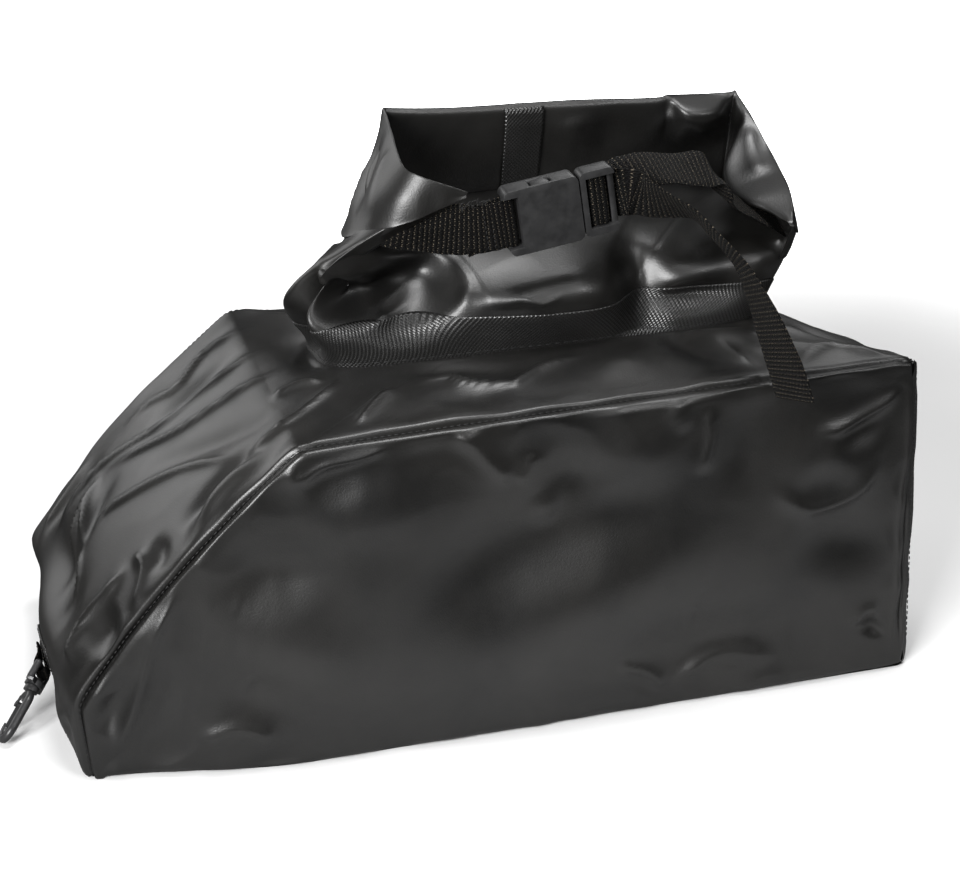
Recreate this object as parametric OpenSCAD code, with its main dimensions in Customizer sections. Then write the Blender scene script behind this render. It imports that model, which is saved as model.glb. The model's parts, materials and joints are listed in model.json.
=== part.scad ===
// Wedge-shaped roll-top dry bag of welded and stitched tarpaulin, standing on its flat base.
// Frame: origin at the centre of the base, +Z up, +X towards the square end,
// the sloping nose at -X, the near side panel at -Y. Millimetres.

/* [Body] */
// Length of the base from nose to square end
base_l = 515; // [460:5:580]
// Width of the base across the two side panels
base_w = 228; // [200:2:260]
// Height of the near seam above the base at the square end
body_h = 217; // [190:1:250]
// Height of the nose's upright front
nose_h = 52; // [40:1:70]
// Horizontal run of the slope from the nose to the flat top
slope_run = 130; // [105:1:150]
// How far the nose's side seams pull in from the full width
nose_tuck = 19; // [4:1:30]
// How far the square end leans in at its top edge
end_lean = 13; // [0:1:25]
// How far the slack far corner of the top has slumped below the near seam
corner_slump = 66; // [0:1:80]
// How far the side panels belly out
side_belly = 5; // [0:1:12]
// How far the nose and slope panel bellies out
nose_belly = 13; // [0:1:24]
// How far the end panel bellies out
end_belly = 6; // [0:1:12]
// Thickness of the coated fabric with its seam allowance
skin_t = 1.2; // [0.8:0.1:2]
// Thickness of the welded tapes
tape_t = 0.8; // [0.5:0.1:1.2]
// Width of each leg of the inner seam tapes
inner_tape_w = 11; // [8:1:14]

/* [Neck] */
// Half length of the neck's base opening
neck_a = 138; // [120:1:146]
// Half width of the neck's base opening
neck_b = 45; // [38:1:52]
// Place of the neck's centre along the bag
neck_x = 45; // [35:1:55]
// Place of the neck's centre across the bag
neck_y = 5; // [-5:1:12]
// Fall of the neck's seam towards the far side, per millimetre
neck_fall = 0.2; // [0:0.05:0.3]
// Height of the tape around the neck's base
base_tape_h = 25; // [16:1:28]
// How far the neck's front wall bellies out
front_belly = 9; // [0:1:20]
// How far the folded left end of the neck stands out
ear_out = 52; // [20:1:60]

/* [Closure] */
// Half length of the rolled top, seen from above
roll_a = 113; // [105:1:122]
// Half depth of the rolled top, seen from above
roll_b = 50; // [44:1:54]
// Height of the roll at the middle of the back
roll_h = 62; // [50:1:70]
// Height of the roll at its two tips
tip_h = 36; // [32:1:40]
// Thickness of the rolled layers together
roll_t = 10; // [8:0.5:14]
// Top of the roll above the base, at its left corner
roll_top = 348; // [330:1:360]
// How much lower the roll's right corner lies
roll_drop = 11; // [0:1:20]
// How much lower the roll's left tip hangs than its corner
tip_drop = 14; // [5:1:20]
// How much lower the roll's right tip hangs than its corner
right_tip_drop = 36; // [10:1:44]
// How far the roll's lower edge stands outside its upper edge
roll_lean = 15; // [4:1:18]
// Width of the stiffener strip rolled inside the top
strip_w = 25; // [15:1:28]
// Thickness of the stiffener strip
strip_t = 1.5; // [1:0.1:2.5]
// Width of the welded tape that closes the neck's back seam
back_tape_w = 25; // [18:1:34]
// Place of that tape's middle along the bag
back_tape_x = 49; // [20:1:90]

/* [Straps] */
// Width of the webbing
web_w = 30; // [25:1:31]
// Thickness of the webbing
web_t = 1.8; // [1.2:0.1:2.2]

/* [Buckle] */
// Width of the side-release buckle
buckle_w = 40; // [38:1:46]
// Thickness of the buckle's socket
buckle_t = 13; // [12:0.5:15]
// Length of the socket with its strap bar
socket_l = 45; // [43:1:52]
// Length of the part of the plug that stays outside the socket
plug_l = 21; // [20:1:28]
// Wall of the socket's broad faces
socket_wall = 2.2; // [1.6:0.1:2.6]
// Wall of the socket's narrow edges
edge_wall = 3.5; // [3:0.1:4]
// Running clearance of the plug in the socket
plug_gap = 0.35; // [0.3:0.05:0.5]
// Length of each strap slot along the buckle
slot_l = 4.5; // [4:0.1:5.5]

/* [Snap hook] */
// Distance between the centre lines of the hook's two sides
hook_w = 14; // [13:0.5:18]
// Length of the hook's straight side
hook_side = 17.5; // [16:0.5:24]
// Radius of the hook's rod
rod_r = 2.6; // [2.4:0.1:3.2]
// Radius of the swivel stem
stem_r = 2.4; // [2:0.1:2.6]
// Radial running clearance of the swivel stem
stem_gap = 0.1; // [0.08:0.01:0.15]
// Width of the webbing loop that holds the hook
loop_w = 15; // [12:1:17]
// Radius of the swivel eye's rod
eye_r = 2.2; // [1.8:0.1:2.4]
// Thickness of the spring gate
gate_t = 1.6; // [1.2:0.1:2]

/* [Hidden] */

near = -1;
far = 1;
nose_n = 6;     // cells up the nose and down the end
slope_n = 10;   // cells along the slope
top_n = 16;     // cells along the top
cross_n = 10;   // cells across the gusset
touch = 0.3;    // clearance of soft pieces that lie on each other
up = [0, 0, 1];

fabric_black = [0.10, 0.10, 0.11];
tape_black = [0.14, 0.14, 0.15];
web_black = [0.08, 0.08, 0.08];
plastic_black = [0.16, 0.16, 0.17];

nose_x = -base_l / 2;
end_x = base_l / 2;
half_w = base_w / 2;
neck_z = body_h + 1;
neck_seam_y = neck_y - neck_b;

// Plain helpers
function mix(a, b, t) = a + (b - a) * t;
function ease(t) = t <= 0 ? 0 : t >= 1 ? 1 : t * t * (3 - 2 * t);
function unit(v) = v / norm(v);
function bump(u, v) = sin(180 * u) * sin(180 * v);
function signed_power(a, p) = sign(a) * pow(abs(a), p);

// ---- The seam loops of the two side panels ----
// Each loop runs up the nose, up the slope, along the top, down the end and back along the base.
function side_y(side, x) =
    side * (half_w - (side == near ? nose_tuck : 3) * (1 - ease((x - nose_x) / slope_run)));
function nose_foot(side) = [nose_x + 2, side_y(side, nose_x), 0];
function nose_top(side) = [nose_x - (side == far ? 6 : 1), side_y(side, nose_x), nose_h];
function slope_top(side) =
    [nose_x + slope_run, side * (half_w - (side == far ? 12 : 0)), body_h - (side == far ? 16 : 8)];
function end_top(side) =
    [end_x - end_lean, side * (half_w - (side == far ? 8 : 0)), body_h - (side == far ? corner_slump : 0)];
function end_foot(side) = [end_x, side * half_w, 0];
function slope_point(side, t) =
    let (p = mix(nose_top(side), slope_top(side), t))
    [p[0] - 4 * sin(180 * t), side_y(side, p[0]) * (1 - t) + p[1] * t, p[2] + 5 * sin(180 * t)];
function base_point(side, t) =
    let (x = mix(end_foot(side)[0], nose_foot(side)[0], t)) [x, side_y(side, x), 0];
base_n = slope_n + top_n;
function side_loop(side) = concat(
    [for (i = [0:nose_n]) mix(nose_foot(side), nose_top(side), i / nose_n)],
    [for (i = [1:slope_n]) slope_point(side, i / slope_n)],
    [for (i = [1:top_n]) mix(slope_top(side), end_top(side), i / top_n)],
    [for (i = [1:nose_n]) mix(end_top(side), end_foot(side), i / nose_n)],
    [for (i = [1:base_n - 1]) base_point(side, i / base_n)]
);
function ring_at(list, i) = list[(i + len(list)) % len(list)];
function inward(loop, i) =
    let (d = ring_at(loop, i + 1) - ring_at(loop, i - 1)) unit([d[2], 0, -d[0]]);
function inset(loop, side, d) = [
    for (i = [0:len(loop) - 1]) loop[i] + d * inward(loop, i) - [0, side * d, 0]
];
loop_near = side_loop(near);
loop_far = side_loop(far);
skin_near = inset(loop_near, near, skin_t);
skin_far = inset(loop_far, far, skin_t);
i_slope = nose_n;
i_top = nose_n + slope_n;
i_end = i_top + top_n;
i_foot = i_end + nose_n;

// ---- Thin solids between an outer and an inner grid of points ----
function cells(rows, cols, closed) = [for (i = [0:rows - 2], j = [0:cols - (closed ? 1 : 2)]) [i, j]];
// A and B are grids [row][column]; closed grids join the last column to the first.
module skin(A, B, closed = false) {
    rows = len(A);
    cols = len(A[0]);
    n = rows * cols;
    points = concat([for (r = A) each r], [for (r = B) each r]);
    function id(i, j) = i * cols + j % cols;
    faces = concat(
        [for (c = cells(rows, cols, closed)) each [
            [id(c[0], c[1]), id(c[0] + 1, c[1]), id(c[0] + 1, c[1] + 1)],
            [id(c[0], c[1]), id(c[0] + 1, c[1] + 1), id(c[0], c[1] + 1)],
            [n + id(c[0], c[1]), n + id(c[0] + 1, c[1] + 1), n + id(c[0] + 1, c[1])],
            [n + id(c[0], c[1]), n + id(c[0], c[1] + 1), n + id(c[0] + 1, c[1] + 1)]
        ]],
        [for (j = [0:cols - (closed ? 1 : 2)]) each [
            [id(0, j), id(0, j + 1), n + id(0, j + 1)],
            [id(0, j), n + id(0, j + 1), n + id(0, j)],
            [id(rows - 1, j), n + id(rows - 1, j), n + id(rows - 1, j + 1)],
            [id(rows - 1, j), n + id(rows - 1, j + 1), id(rows - 1, j + 1)]
        ]],
        closed ? [] : [for (i = [0:rows - 2]) each [
            [id(i, 0), n + id(i, 0), n + id(i + 1, 0)],
            [id(i, 0), n + id(i + 1, 0), id(i + 1, 0)],
            [id(i, cols - 1), id(i + 1, cols - 1), n + id(i + 1, cols - 1)],
            [id(i, cols - 1), n + id(i + 1, cols - 1), n + id(i, cols - 1)]
        ]]
    );
    polyhedron(points, faces, convexity = 8);
}
// A solid through a list of cross-sections, each with the same number of points.
module sweep(rings) {
    k = len(rings[0]);
    n = len(rings);
    polyhedron(
        [for (r = rings) each r],
        concat(
            [[for (j = [0:k - 1]) j]],
            [for (i = [0:n - 2], j = [0:k - 1]) each [
                [i * k + j, (i + 1) * k + j, (i + 1) * k + (j + 1) % k],
                [i * k + j, (i + 1) * k + (j + 1) % k, i * k + (j + 1) % k]
            ]],
            [[for (j = [k - 1:-1:0]) (n - 1) * k + j]]
        ),
        convexity = 8
    );
}
// Flat webbing through points; each entry is [point, direction across the webbing].
function along(route, i) =
    unit(route[min(i + 1, len(route) - 1)][0] - route[max(i - 1, 0)][0]);
module ribbon(route, w, t) {
    sweep([for (i = [0:len(route) - 1])
        let (
            a = unit(route[i][1] - along(route, i) * (route[i][1] * along(route, i))),
            b = cross(along(route, i), a),
            p = route[i][0]
        )
        [p - a * w / 2 - b * t / 2, p + a * w / 2 - b * t / 2, p + a * w / 2 + b * t / 2, p - a * w / 2 + b * t / 2]
    ]);
}

// ---- Body panels ----
function side_grid(loop, side) = [for (i = [0:base_n]) [for (j = [0:nose_n])
    let (foot = ring_at(loop, len(loop) - i), head = loop[i_slope + i])
    i == 0 ? loop[j] :
    i == base_n ? loop[i_foot - j] :
    mix(foot, head, j / nose_n) + [0, side * side_belly * bump(i / base_n, j / nose_n), 0]
]];
module side_panel(side) {
    color(fabric_black)
        if (side == near) skin(side_grid(loop_near, near), side_grid(skin_near, near));
        else skin(side_grid(skin_far, far), side_grid(loop_far, far));
}
// How much of the nose's belly shows at s cells from its foot: least at the foot, most on the slope
foot_share = 0.45;
function fullness(v) = pow(sin(180 * v), 0.6);   // round near its two seams
crest_s = 9;
function nose_share(s) =
    s < crest_s ? mix(foot_share, 1, ease(s / crest_s)) : sin(90 * (i_top - s) / (i_top - crest_s));
function out_dir(i) = i == 0 || i == len(loop_near) ? [-1, 0, 0] : -inward(loop_near, i);
function end_share_at(i) = sin(180 * (i - i_end) / nose_n);
function base_share(i) = foot_share * pow((i - i_foot) / base_n, 6);
// A strip of the gusset between the two seam loops; bellies[n] is the belly at its n-th seam point
function gusset_grid(a, b, first, bellies) = [for (n = [0:len(bellies) - 1]) [for (k = [0:cross_n])
    mix(ring_at(a, first + n), ring_at(b, first + n), k / cross_n)
    + (first == i_foot ? [-1, 0, 0] : out_dir(first + n)) * bellies[n] * fullness(k / cross_n)
]];
module gusset(first, bellies) {
    color(fabric_black)
        skin(gusset_grid(skin_near, skin_far, first, bellies), gusset_grid(loop_near, loop_far, first, bellies));
}
// The top panel runs from the seams to the neck's opening, ring by ring.
ring_n = 2 * (top_n + cross_n);
function top_edge(a, b) = concat(
    [for (i = [0:top_n - 1]) a[i_top + i]],
    [for (i = [0:cross_n - 1]) mix(a[i_end], b[i_end], i / cross_n)],
    [for (i = [0:top_n - 1]) b[i_end - i]],
    [for (i = [0:cross_n - 1]) mix(b[i_top], a[i_top], i / cross_n)]
);
function neck_seam_z(y) = neck_z - neck_fall * (y - neck_seam_y);
// A point of the neck's base seam in the direction of ring point k, grown by d
function neck_base(k, d) =
    let (
        e = top_edge(loop_near, loop_far)[k % ring_n],
        u = unit([(e[0] - neck_x) / neck_a, (e[1] - neck_y) / neck_b]),
        f = pow(pow(abs(u[0]), 5) + pow(abs(u[1]), 5), -1 / 5),
        x = neck_x + (neck_a + d) * f * u[0],
        y = neck_y + (neck_b + d) * f * u[1]
    )
    [x, y, neck_seam_z(y)];
top_rows = 4;
function top_grid(edge, down) = [for (r = [0:top_rows]) [for (k = [0:ring_n - 1])
    mix(edge[k], neck_base(k, 0) - [0, 0, down], r / top_rows) + 3 * sin(180 * r / top_rows) * up
]];

module side_panel_near() { side_panel(near); }
module side_panel_far() { side_panel(far); }
module bottom_panel() { gusset(i_foot, [for (i = [i_foot:len(loop_near)]) nose_belly * base_share(i)]); }
module nose_panel() { gusset(0, [for (i = [0:i_top]) nose_belly * nose_share(i)]); }
module end_panel() { gusset(i_end, [for (i = [i_end:i_foot]) end_belly * end_share_at(i)]); }
module top_panel() {
    color(fabric_black)
        skin(top_grid(top_edge(skin_near, skin_far), skin_t), top_grid(top_edge(loop_near, loop_far), 0), true);
}
// Welded tape folded into the inside corner of a stitched seam
module seam_tape(side) {
    skin_loop = side == near ? skin_near : skin_far;
    other = side == near ? skin_far : skin_near;
    color(tape_black) sweep([for (i = [0:i_foot])
        let (
            d1 = inward(skin_loop, i),
            d2 = unit(other[i] - skin_loop[i]),
            c = skin_loop[i] + touch * (d1 + d2) + (i == 0 ? touch * up : i == i_foot ? touch * up : [0, 0, 0])
        )
        side == near
            ? [c, c + inner_tape_w * d1, c + inner_tape_w * d1 + tape_t * d2, c + tape_t * (d1 + d2),
               c + inner_tape_w * d2 + tape_t * d1, c + inner_tape_w * d2]
            : [c, c + inner_tape_w * d2, c + inner_tape_w * d2 + tape_t * d1, c + tape_t * (d1 + d2),
               c + inner_tape_w * d1 + tape_t * d2, c + inner_tape_w * d1]
    ]);
}
module seam_tape_near() { seam_tape(near); }
module seam_tape_far() { seam_tape(far); }

// ---- Rolled closure: a band bent into a C that opens to the near side ----
roll_x = neck_x + 25;     // the roll sits askew on the neck
roll_y = neck_y - 9;
roll_turn = 132;    // the C reaches this many degrees to each side of its back
roll_n = ring_n / 2;
// s runs from -1 at the left tip to 1 at the right tip
function roll_angle(s) = 90 - roll_turn * s;
corner_p = 4.5;     // how square the C's corners are
function roll_path(s) = [
    roll_x + roll_a * signed_power(cos(roll_angle(s)), 2 / corner_p),
    roll_y + roll_b * signed_power(sin(roll_angle(s)), 2 / corner_p), 0
];
function roll_normal(s) =
    let (u = (roll_path(s)[0] - roll_x) / roll_a, v = (roll_path(s)[1] - roll_y) / roll_b)
    unit([signed_power(u, corner_p - 1) / roll_a, signed_power(v, corner_p - 1) / roll_b, 0]);
function tip_share(s) = ease((abs(s) - 0.45) / 0.55);
function roll_z_top(s) =
    roll_top - roll_drop * (s + 1) / 2 - (s < 0 ? tip_drop : right_tip_drop) * tip_share(s);
function roll_height(s) = mix(roll_h, tip_h, tip_share(s));
function roll_z_low(s) = roll_z_top(s) - roll_height(s);
// A point of the band: h = 0 at its lower edge and 1 at its top, d outward from its middle
function roll_point(s, h, d) =
    roll_path(s) + roll_normal(s) * (d + roll_lean * (1 - h)) + up * mix(roll_z_low(s), roll_z_top(s), h);
// Rounded cross-section of the band, of thickness t, with its edges pulled in by e
function roll_section(s, t, e) = [for (a = [0:30:330])
    let (r = t / 2, c = cos(a), v = sin(a), room = roll_height(s) / 2 - e - r)
    roll_point(s, 0.5 + (r * v + room * (v > 0.1 ? 1 : v < -0.1 ? -1 : 0)) / roll_height(s), r * c)
];
layer_t = 2.6;      // wall of fabric layers around the stiffener
module rolled_closure() {
    color(fabric_black) difference() {
        sweep([for (i = [0:roll_n]) roll_section(-1 + 2 * i / roll_n, roll_t, 0)]);
        sweep([for (i = [-1:roll_n + 1])
            let (s = min(1, max(-1, -1 + 2 * i / roll_n)))
            [for (p = roll_section(s, roll_t - 2 * layer_t, layer_t))
                p + (i < 0 ? -2 : i > roll_n ? 2 : 0) * cross(roll_normal(s), up)]
        ]);
    }
}
module stiffener_strip() {
    reach = 0.9;
    color("white") sweep([for (i = [0:roll_n])
        let (s = reach * (-1 + 2 * i / roll_n), m = strip_w / 2 / roll_height(s))
        [roll_point(s, 0.5 - m, strip_t / 2), roll_point(s, 0.5 + m, strip_t / 2),
         roll_point(s, 0.5 + m, -strip_t / 2), roll_point(s, 0.5 - m, -strip_t / 2)]
    ]);
}
// Place along the roll's back that lies at x
function roll_s_at(x) =
    let (u = (x - roll_x) / roll_a) (90 - acos(signed_power(u, corner_p / 2))) / roll_turn;
// Welded tape on the inner face of the roll's back, where the neck's own seam runs up
module neck_back_tape() {
    inner = -roll_t / 2 - touch / 3;
    color(tape_black) sweep([for (i = [0:6])
        let (s = roll_s_at(back_tape_x + back_tape_w * (i / 6 - 0.5)))
        [roll_point(s, 0.1, inner - tape_t), roll_point(s, 0.88, inner - tape_t),
         roll_point(s, 0.88, inner), roll_point(s, 0.1, inner)]
    ]);
}

// ---- Neck: from the opening in the top panel up into the roll ----
neck_sink = 5;      // the neck is sewn in this far below the top panel
slot_t = roll_t - 2;
left_k = ring_n - cross_n / 2;
// Ring point k meets the roll's inner face on the near half and its outer face on the far half
function neck_step(k) = (k - left_k + 2 * ring_n) % ring_n;
function is_front(k) = neck_step(k) < roll_n;
function neck_s(k) = is_front(k) ? -1 + 2 * neck_step(k) / roll_n : 3 - 2 * neck_step(k) / roll_n;
function end_share(k) = pow(abs(neck_s(k)), 8);
function neck_top(k, d) =
    let (s = neck_s(k), side = is_front(k) ? -1 : 1)
    roll_point(s, 0, side * (slot_t / 2 * (1 - end_share(k)) + d) ) - touch * up;
function left_share(k) = ease((-neck_s(k) - 0.35) / 0.5);
function front_share(k) = is_front(k) ? 1 - pow(neck_s(k), 2) : 0;
// Neck surface at height share h, moved outward by d
// The front wall stands up first and then runs back as a shelf; the ends and the back go straight
function neck_point(k, h, d) =
    let (
        b = neck_base(k, d - touch / 2), t = neck_top(k, d), front = front_share(k),
        run = mix(h, pow(1 - pow(1 - h, 0.42), 3), front)
    )
    [mix(b[0], t[0], run), mix(b[1], t[1], run), mix(b[2], t[2], h)]
    + [-ear_out * left_share(k), -front_belly * front, 0] * sin(180 * h);
neck_rows = 9;
tape_rows = 3;
tape_share = base_tape_h / (roll_z_low(0) - neck_z);
// Height share of row r: the lowest rows cover just the tape's band, and the shelf's rows lie close together
function neck_h(r) =
    let (t = (r - tape_rows) / (neck_rows - tape_rows))
    r <= tape_rows ? tape_share * r / tape_rows : mix(tape_share, 1, 1 - pow(1 - t, 2));
function neck_ring(h, d) = [for (k = [0:ring_n - 1]) neck_point(k, h, d)];
function neck_grid(d) = concat(
    [[for (p = neck_ring(0, d)) p - neck_sink * up]], [for (r = [0:neck_rows]) neck_ring(neck_h(r), d)]
);
module neck_wall() { color(fabric_black) skin(neck_grid(-skin_t), neck_grid(0), true); }
module neck_base_tape() {
    gap = 0.9;
    rows = concat([4 * touch / base_tape_h], [for (r = [1:tape_rows]) r / tape_rows]) * tape_share;
    color(tape_black)
        skin([for (h = rows) neck_ring(h, gap)], [for (h = rows) neck_ring(h, gap + tape_t)], true);
}

// ---- Buckle: local x along the strap, z across it, y through it ----
buckle_l = socket_l + 1 + plug_l;
buckle_tilt = 8.5;
buckle_at = [10.5, roll_y - roll_b + 8, roll_z_top(-1) - 32];
function on_buckle(x, y, z) =
    buckle_at + x * [cos(buckle_tilt), 0, sin(buckle_tilt)] + [0, y, 0] + z * [-sin(buckle_tilt), 0, cos(buckle_tilt)];
module at_buckle() { translate(buckle_at) rotate([0, -buckle_tilt, 0]) children(); }
// A block with rounded corners in the x-z plane
module slab(x0, x1, w, t, r) {
    rotate([90, 0, 0]) translate([0, 0, -t / 2]) linear_extrude(t) hull()
        for (x = [x0 + r, x1 - r], z = [-w / 2 + r, w / 2 - r]) translate([x, z]) circle(r, $fn = 32);
}
module block(x0, x1, y0, y1, z0, z1) { translate([x0, y0, z0]) cube([x1 - x0, y1 - y0, z1 - z0]); }
bar_l = 4;
bar_t = 3.6;
web_room = web_w + 1.4;
// Strap slots, and the bars beside them thinned so that the webbing lies between the side rails
module strap_slots(places, x0, x1) {
    for (x = places) block(x, x + slot_l, -buckle_t, buckle_t, -web_room / 2, web_room / 2);
    for (s = [-1, 1]) block(x0, x1, min(s * bar_t / 2, s * buckle_t), max(s * bar_t / 2, s * buckle_t),
        -web_room / 2, web_room / 2);
}
cavity_x = bar_l + slot_l + 4;
cavity_t = buckle_t - 2 * socket_wall;
cavity_w = buckle_w - 2 * edge_wall;
window_x0 = cavity_x + 4;
window_x1 = window_x0 + 14;
module buckle_socket() {
    color(plastic_black) at_buckle() difference() {
        slab(0, socket_l, buckle_w, buckle_t, 4);
        strap_slots([bar_l], -1, bar_l + slot_l);
        block(cavity_x, socket_l + 1, -cavity_t / 2, cavity_t / 2, -cavity_w / 2, cavity_w / 2);
        for (s = [-1, 1]) block(window_x0, window_x1, -cavity_t / 2, cavity_t / 2,
            min(s * (cavity_w / 2 - 1), s * buckle_w), max(s * (cavity_w / 2 - 1), s * buckle_w));
    }
}
plug_x = socket_l + 1;
plug_t = buckle_t - 2;
tongue_t = cavity_t - 2 * plug_gap;
arm_t = 3;
arm_z = cavity_w / 2 - arm_t - 1.6;
arm_x = plug_x - 2.6;
module buckle_plug() {
    color(plastic_black) at_buckle() {
        difference() {
            slab(plug_x, plug_x + plug_l, buckle_w, plug_t, 3.5);
            strap_slots([plug_x + 3.5, plug_x + plug_l - 3.5 - slot_l], plug_x + 3.5, plug_x + plug_l + 1);
        }
        block(cavity_x + 4, plug_x + 1, -tongue_t / 2, tongue_t / 2, -3, 3);
    }
}
// Latch arm: a living hinge at the plug, a flexing arm and a button that fills the socket's window
button_x0 = window_x0 + 0.8;
button_x1 = window_x1 - 1;
module latch_arm() {
    arm_mid = arm_z + arm_t / 2;
    translate([arm_x, 0, arm_mid]) rotate([90, 0, 0]) cylinder(h = tongue_t, r = 2.1, center = true, $fn = 48);
    block(button_x1 - 3, arm_x, -tongue_t / 2, tongue_t / 2, arm_z, arm_z + arm_t);
    rotate([90, 0, 0]) translate([0, 0, -tongue_t / 2]) linear_extrude(tongue_t) polygon([
        [button_x0, arm_z - 0.5], [button_x1, arm_z], [button_x1, buckle_w / 2 - 1.4],
        [button_x1 - 3, buckle_w / 2 - 0.2], [button_x0 + 2, buckle_w / 2 - 0.6], [button_x0, cavity_w / 2 - 0.8]
    ]);
}
module latch_upper() { color(plastic_black) at_buckle() latch_arm(); }
module latch_lower() { color(plastic_black) at_buckle() mirror([0, 0, 1]) latch_arm(); }

// ---- Straps ----
across = on_buckle(0, 0, 1) - on_buckle(0, 0, 0);
lap = bar_t / 2 + web_t / 2 + touch + 0.3;      // middle of the webbing where it lies on a bar
on_roll = -roll_t / 2 - web_t / 2 - 0.8;         // middle of the webbing on the roll's inner face
function roll_up(s) = unit(roll_point(s, 1, 0) - roll_point(s, 0, 0));
function roll_s(i) = -1 + 2 * i / roll_n;
// From the inside of the left tip over the socket's bar, through its slot and back
module strap_short() {
    slot_x = bar_l + slot_l / 2;
    h = 0.42;
    color(web_black) ribbon(concat(
        [for (i = [3:-1:1]) [roll_point(roll_s(i), h, on_roll), roll_up(roll_s(i))]],
        [
            [mix(roll_point(-0.96, h, on_roll - 0.5), on_buckle(-6, -lap, 0), 0.4),
             unit(mix(roll_up(-1), across, 0.5))],
            [on_buckle(-6, -lap, 0), across],
            [on_buckle(slot_x - 2, -lap, 0), across],
            [on_buckle(slot_x, -1, 0), across],
            [on_buckle(slot_x, 1, 0), across],
            [on_buckle(slot_x - 2, lap, 0), across],
            [on_buckle(-2, lap, 0), across],
            [on_buckle(-8, web_t + 0.4 - lap + 1.2, 0), across]
        ]
    ), web_w, web_t);
}
slot_a = plug_x + 3.5 + slot_l / 2;
slot_b = plug_x + plug_l - 3.5 - slot_l / 2;
back_lap = lap + web_t + 0.5;
// From the plug's inner slot behind both bars, twisting on its way to the inside of the right tip
module strap_adjustable() {
    turn_i = roll_n - 4;
    color(web_black) ribbon(concat([
        [on_buckle(slot_a, 0, 0), across],
        [on_buckle(slot_a, 2.6, 0), across],
        [on_buckle(slot_a + 2, back_lap, 0), across],
        [on_buckle(slot_b, back_lap, 0), across],
        [on_buckle(buckle_l + 5, back_lap + 1, 0), across],
        [on_buckle(buckle_l + 18, 10, 5), unit([0, 0.5, 0.9])],
        [on_buckle(buckle_l + 36, 14, 7), unit([0, 0.75, 0.7])],
        [on_buckle(buckle_l + 54, 17, 0), unit([0, 0.5, 0.9])],
        [roll_point(roll_s(turn_i), 0.55, on_roll - 14), unit([0, 0.1, 1])],
        [roll_point(roll_s(turn_i), 0.55, on_roll - 3) + [0, 6, 0], roll_up(roll_s(turn_i))]
        ],
        [for (t = [0.5, 0.95])
            [mix(roll_point(roll_s(turn_i), 0.55, on_roll), roll_point(roll_s(turn_i - 1), 0.55, on_roll), t),
             roll_up(roll_s(turn_i))]]
    ), web_w, web_t);
}
// Free end: over the middle bar, out behind the end bar, then forward and down; the row's own coordinates
tail_route = [
    [[93, -55, 312], [-0.17, -0.3, 0.94]],
    [[111, -77, 310], [-0.25, -0.8, 0.5]],
    [[121, -93, 300], [-0.22, -0.86, 0.45]],
    [[132, -107, 286], [-0.05, -0.94, 0.3]],
    [[140, -117, 268], [0.15, -0.96, 0.12]],
    [[147, -125, 248], [0.35, -0.93, 0.04]],
    [[154, -130, 228], [0.46, -0.88, 0]],
    [[160, -132, 209], [0.48, -0.88, 0]]
];
module strap_tail() {
    color(web_black) ribbon(concat([
        [on_buckle(slot_a, 0, 0), across],
        [on_buckle(slot_a, -2, 0), across],
        [on_buckle(slot_a + 1.5, -lap, 0), across],
        [on_buckle(slot_b - 1.5, -lap, 0), across],
        [on_buckle(slot_b, -2, 0), across],
        [on_buckle(slot_b, 1.5, 0), across],
        [on_buckle(slot_b + 1.5, lap, 0), across],
        [on_buckle(buckle_l + 1, lap, 0), across],
        [on_buckle(buckle_l + 8, -4, 1), across]
    ], tail_route), web_w, web_t);
}

// ---- Snap hook at the nose; local z runs up the stem, x along the eye's bar ----
hook_dir = unit([-0.58, -0.62, -0.51]);   // the way the hook lies, from its eye to its tip
hook_turn = 35;     // how far the hook has swivelled under its eye
patch_s = 4.2;      // place of the sewn loop, in cells up the nose
patch_v = 0.42;     // place of the sewn loop, as a share across the nose
patch_w = 34;
// Any point of the nose's surface, s in cells from its foot and v as a share across
function seam_at(loop, s) = mix(loop[floor(s)], loop[floor(s) + 1], s - floor(s));
function nose_at(s, v, d = 0) =
    mix(seam_at(loop_near, s), seam_at(loop_far, s), v)
    + mix(out_dir(floor(s)), out_dir(floor(s) + 1), s - floor(s)) * (nose_belly * nose_share(s) * fullness(v) + d);
nose_normal = unit(cross(
    nose_at(patch_s, patch_v + 0.05) - nose_at(patch_s, patch_v - 0.05),
    nose_at(patch_s + 0.7, patch_v) - nose_at(patch_s - 0.7, patch_v)
)) * -1;
loop_up = unit(-hook_dir - nose_normal * (-hook_dir * nose_normal));
bar_dir = cross(loop_up, nose_normal);
wrap_r = eye_r + touch + web_t / 2;
lift = skin_t + wrap_r + web_t / 2 + 4 * touch;
eye_at = nose_at(patch_s, patch_v) + nose_normal * lift - loop_up * 9;
eye_y = cross(-hook_dir, bar_dir);
module at_eye() {
    multmatrix([
        [bar_dir[0], eye_y[0], -hook_dir[0], eye_at[0]],
        [bar_dir[1], eye_y[1], -hook_dir[1], eye_at[1]],
        [bar_dir[2], eye_y[2], -hook_dir[2], eye_at[2]],
        [0, 0, 0, 1]
    ]) children();
}
// Reinforcing patch welded to the nose
module hook_patch() {
    du = patch_w / 2 / (nose_h / nose_n) / 1.2;
    dv = patch_w / 2 / base_w;
    grid = function (d) [for (i = [0:4]) [for (j = [0:4])
        nose_at(patch_s + du * (i / 2 - 1) * 0.9, patch_v + dv * (j / 2 - 1), d)]];
    color(tape_black) skin(grid(touch), grid(touch + skin_t));
}
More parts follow.
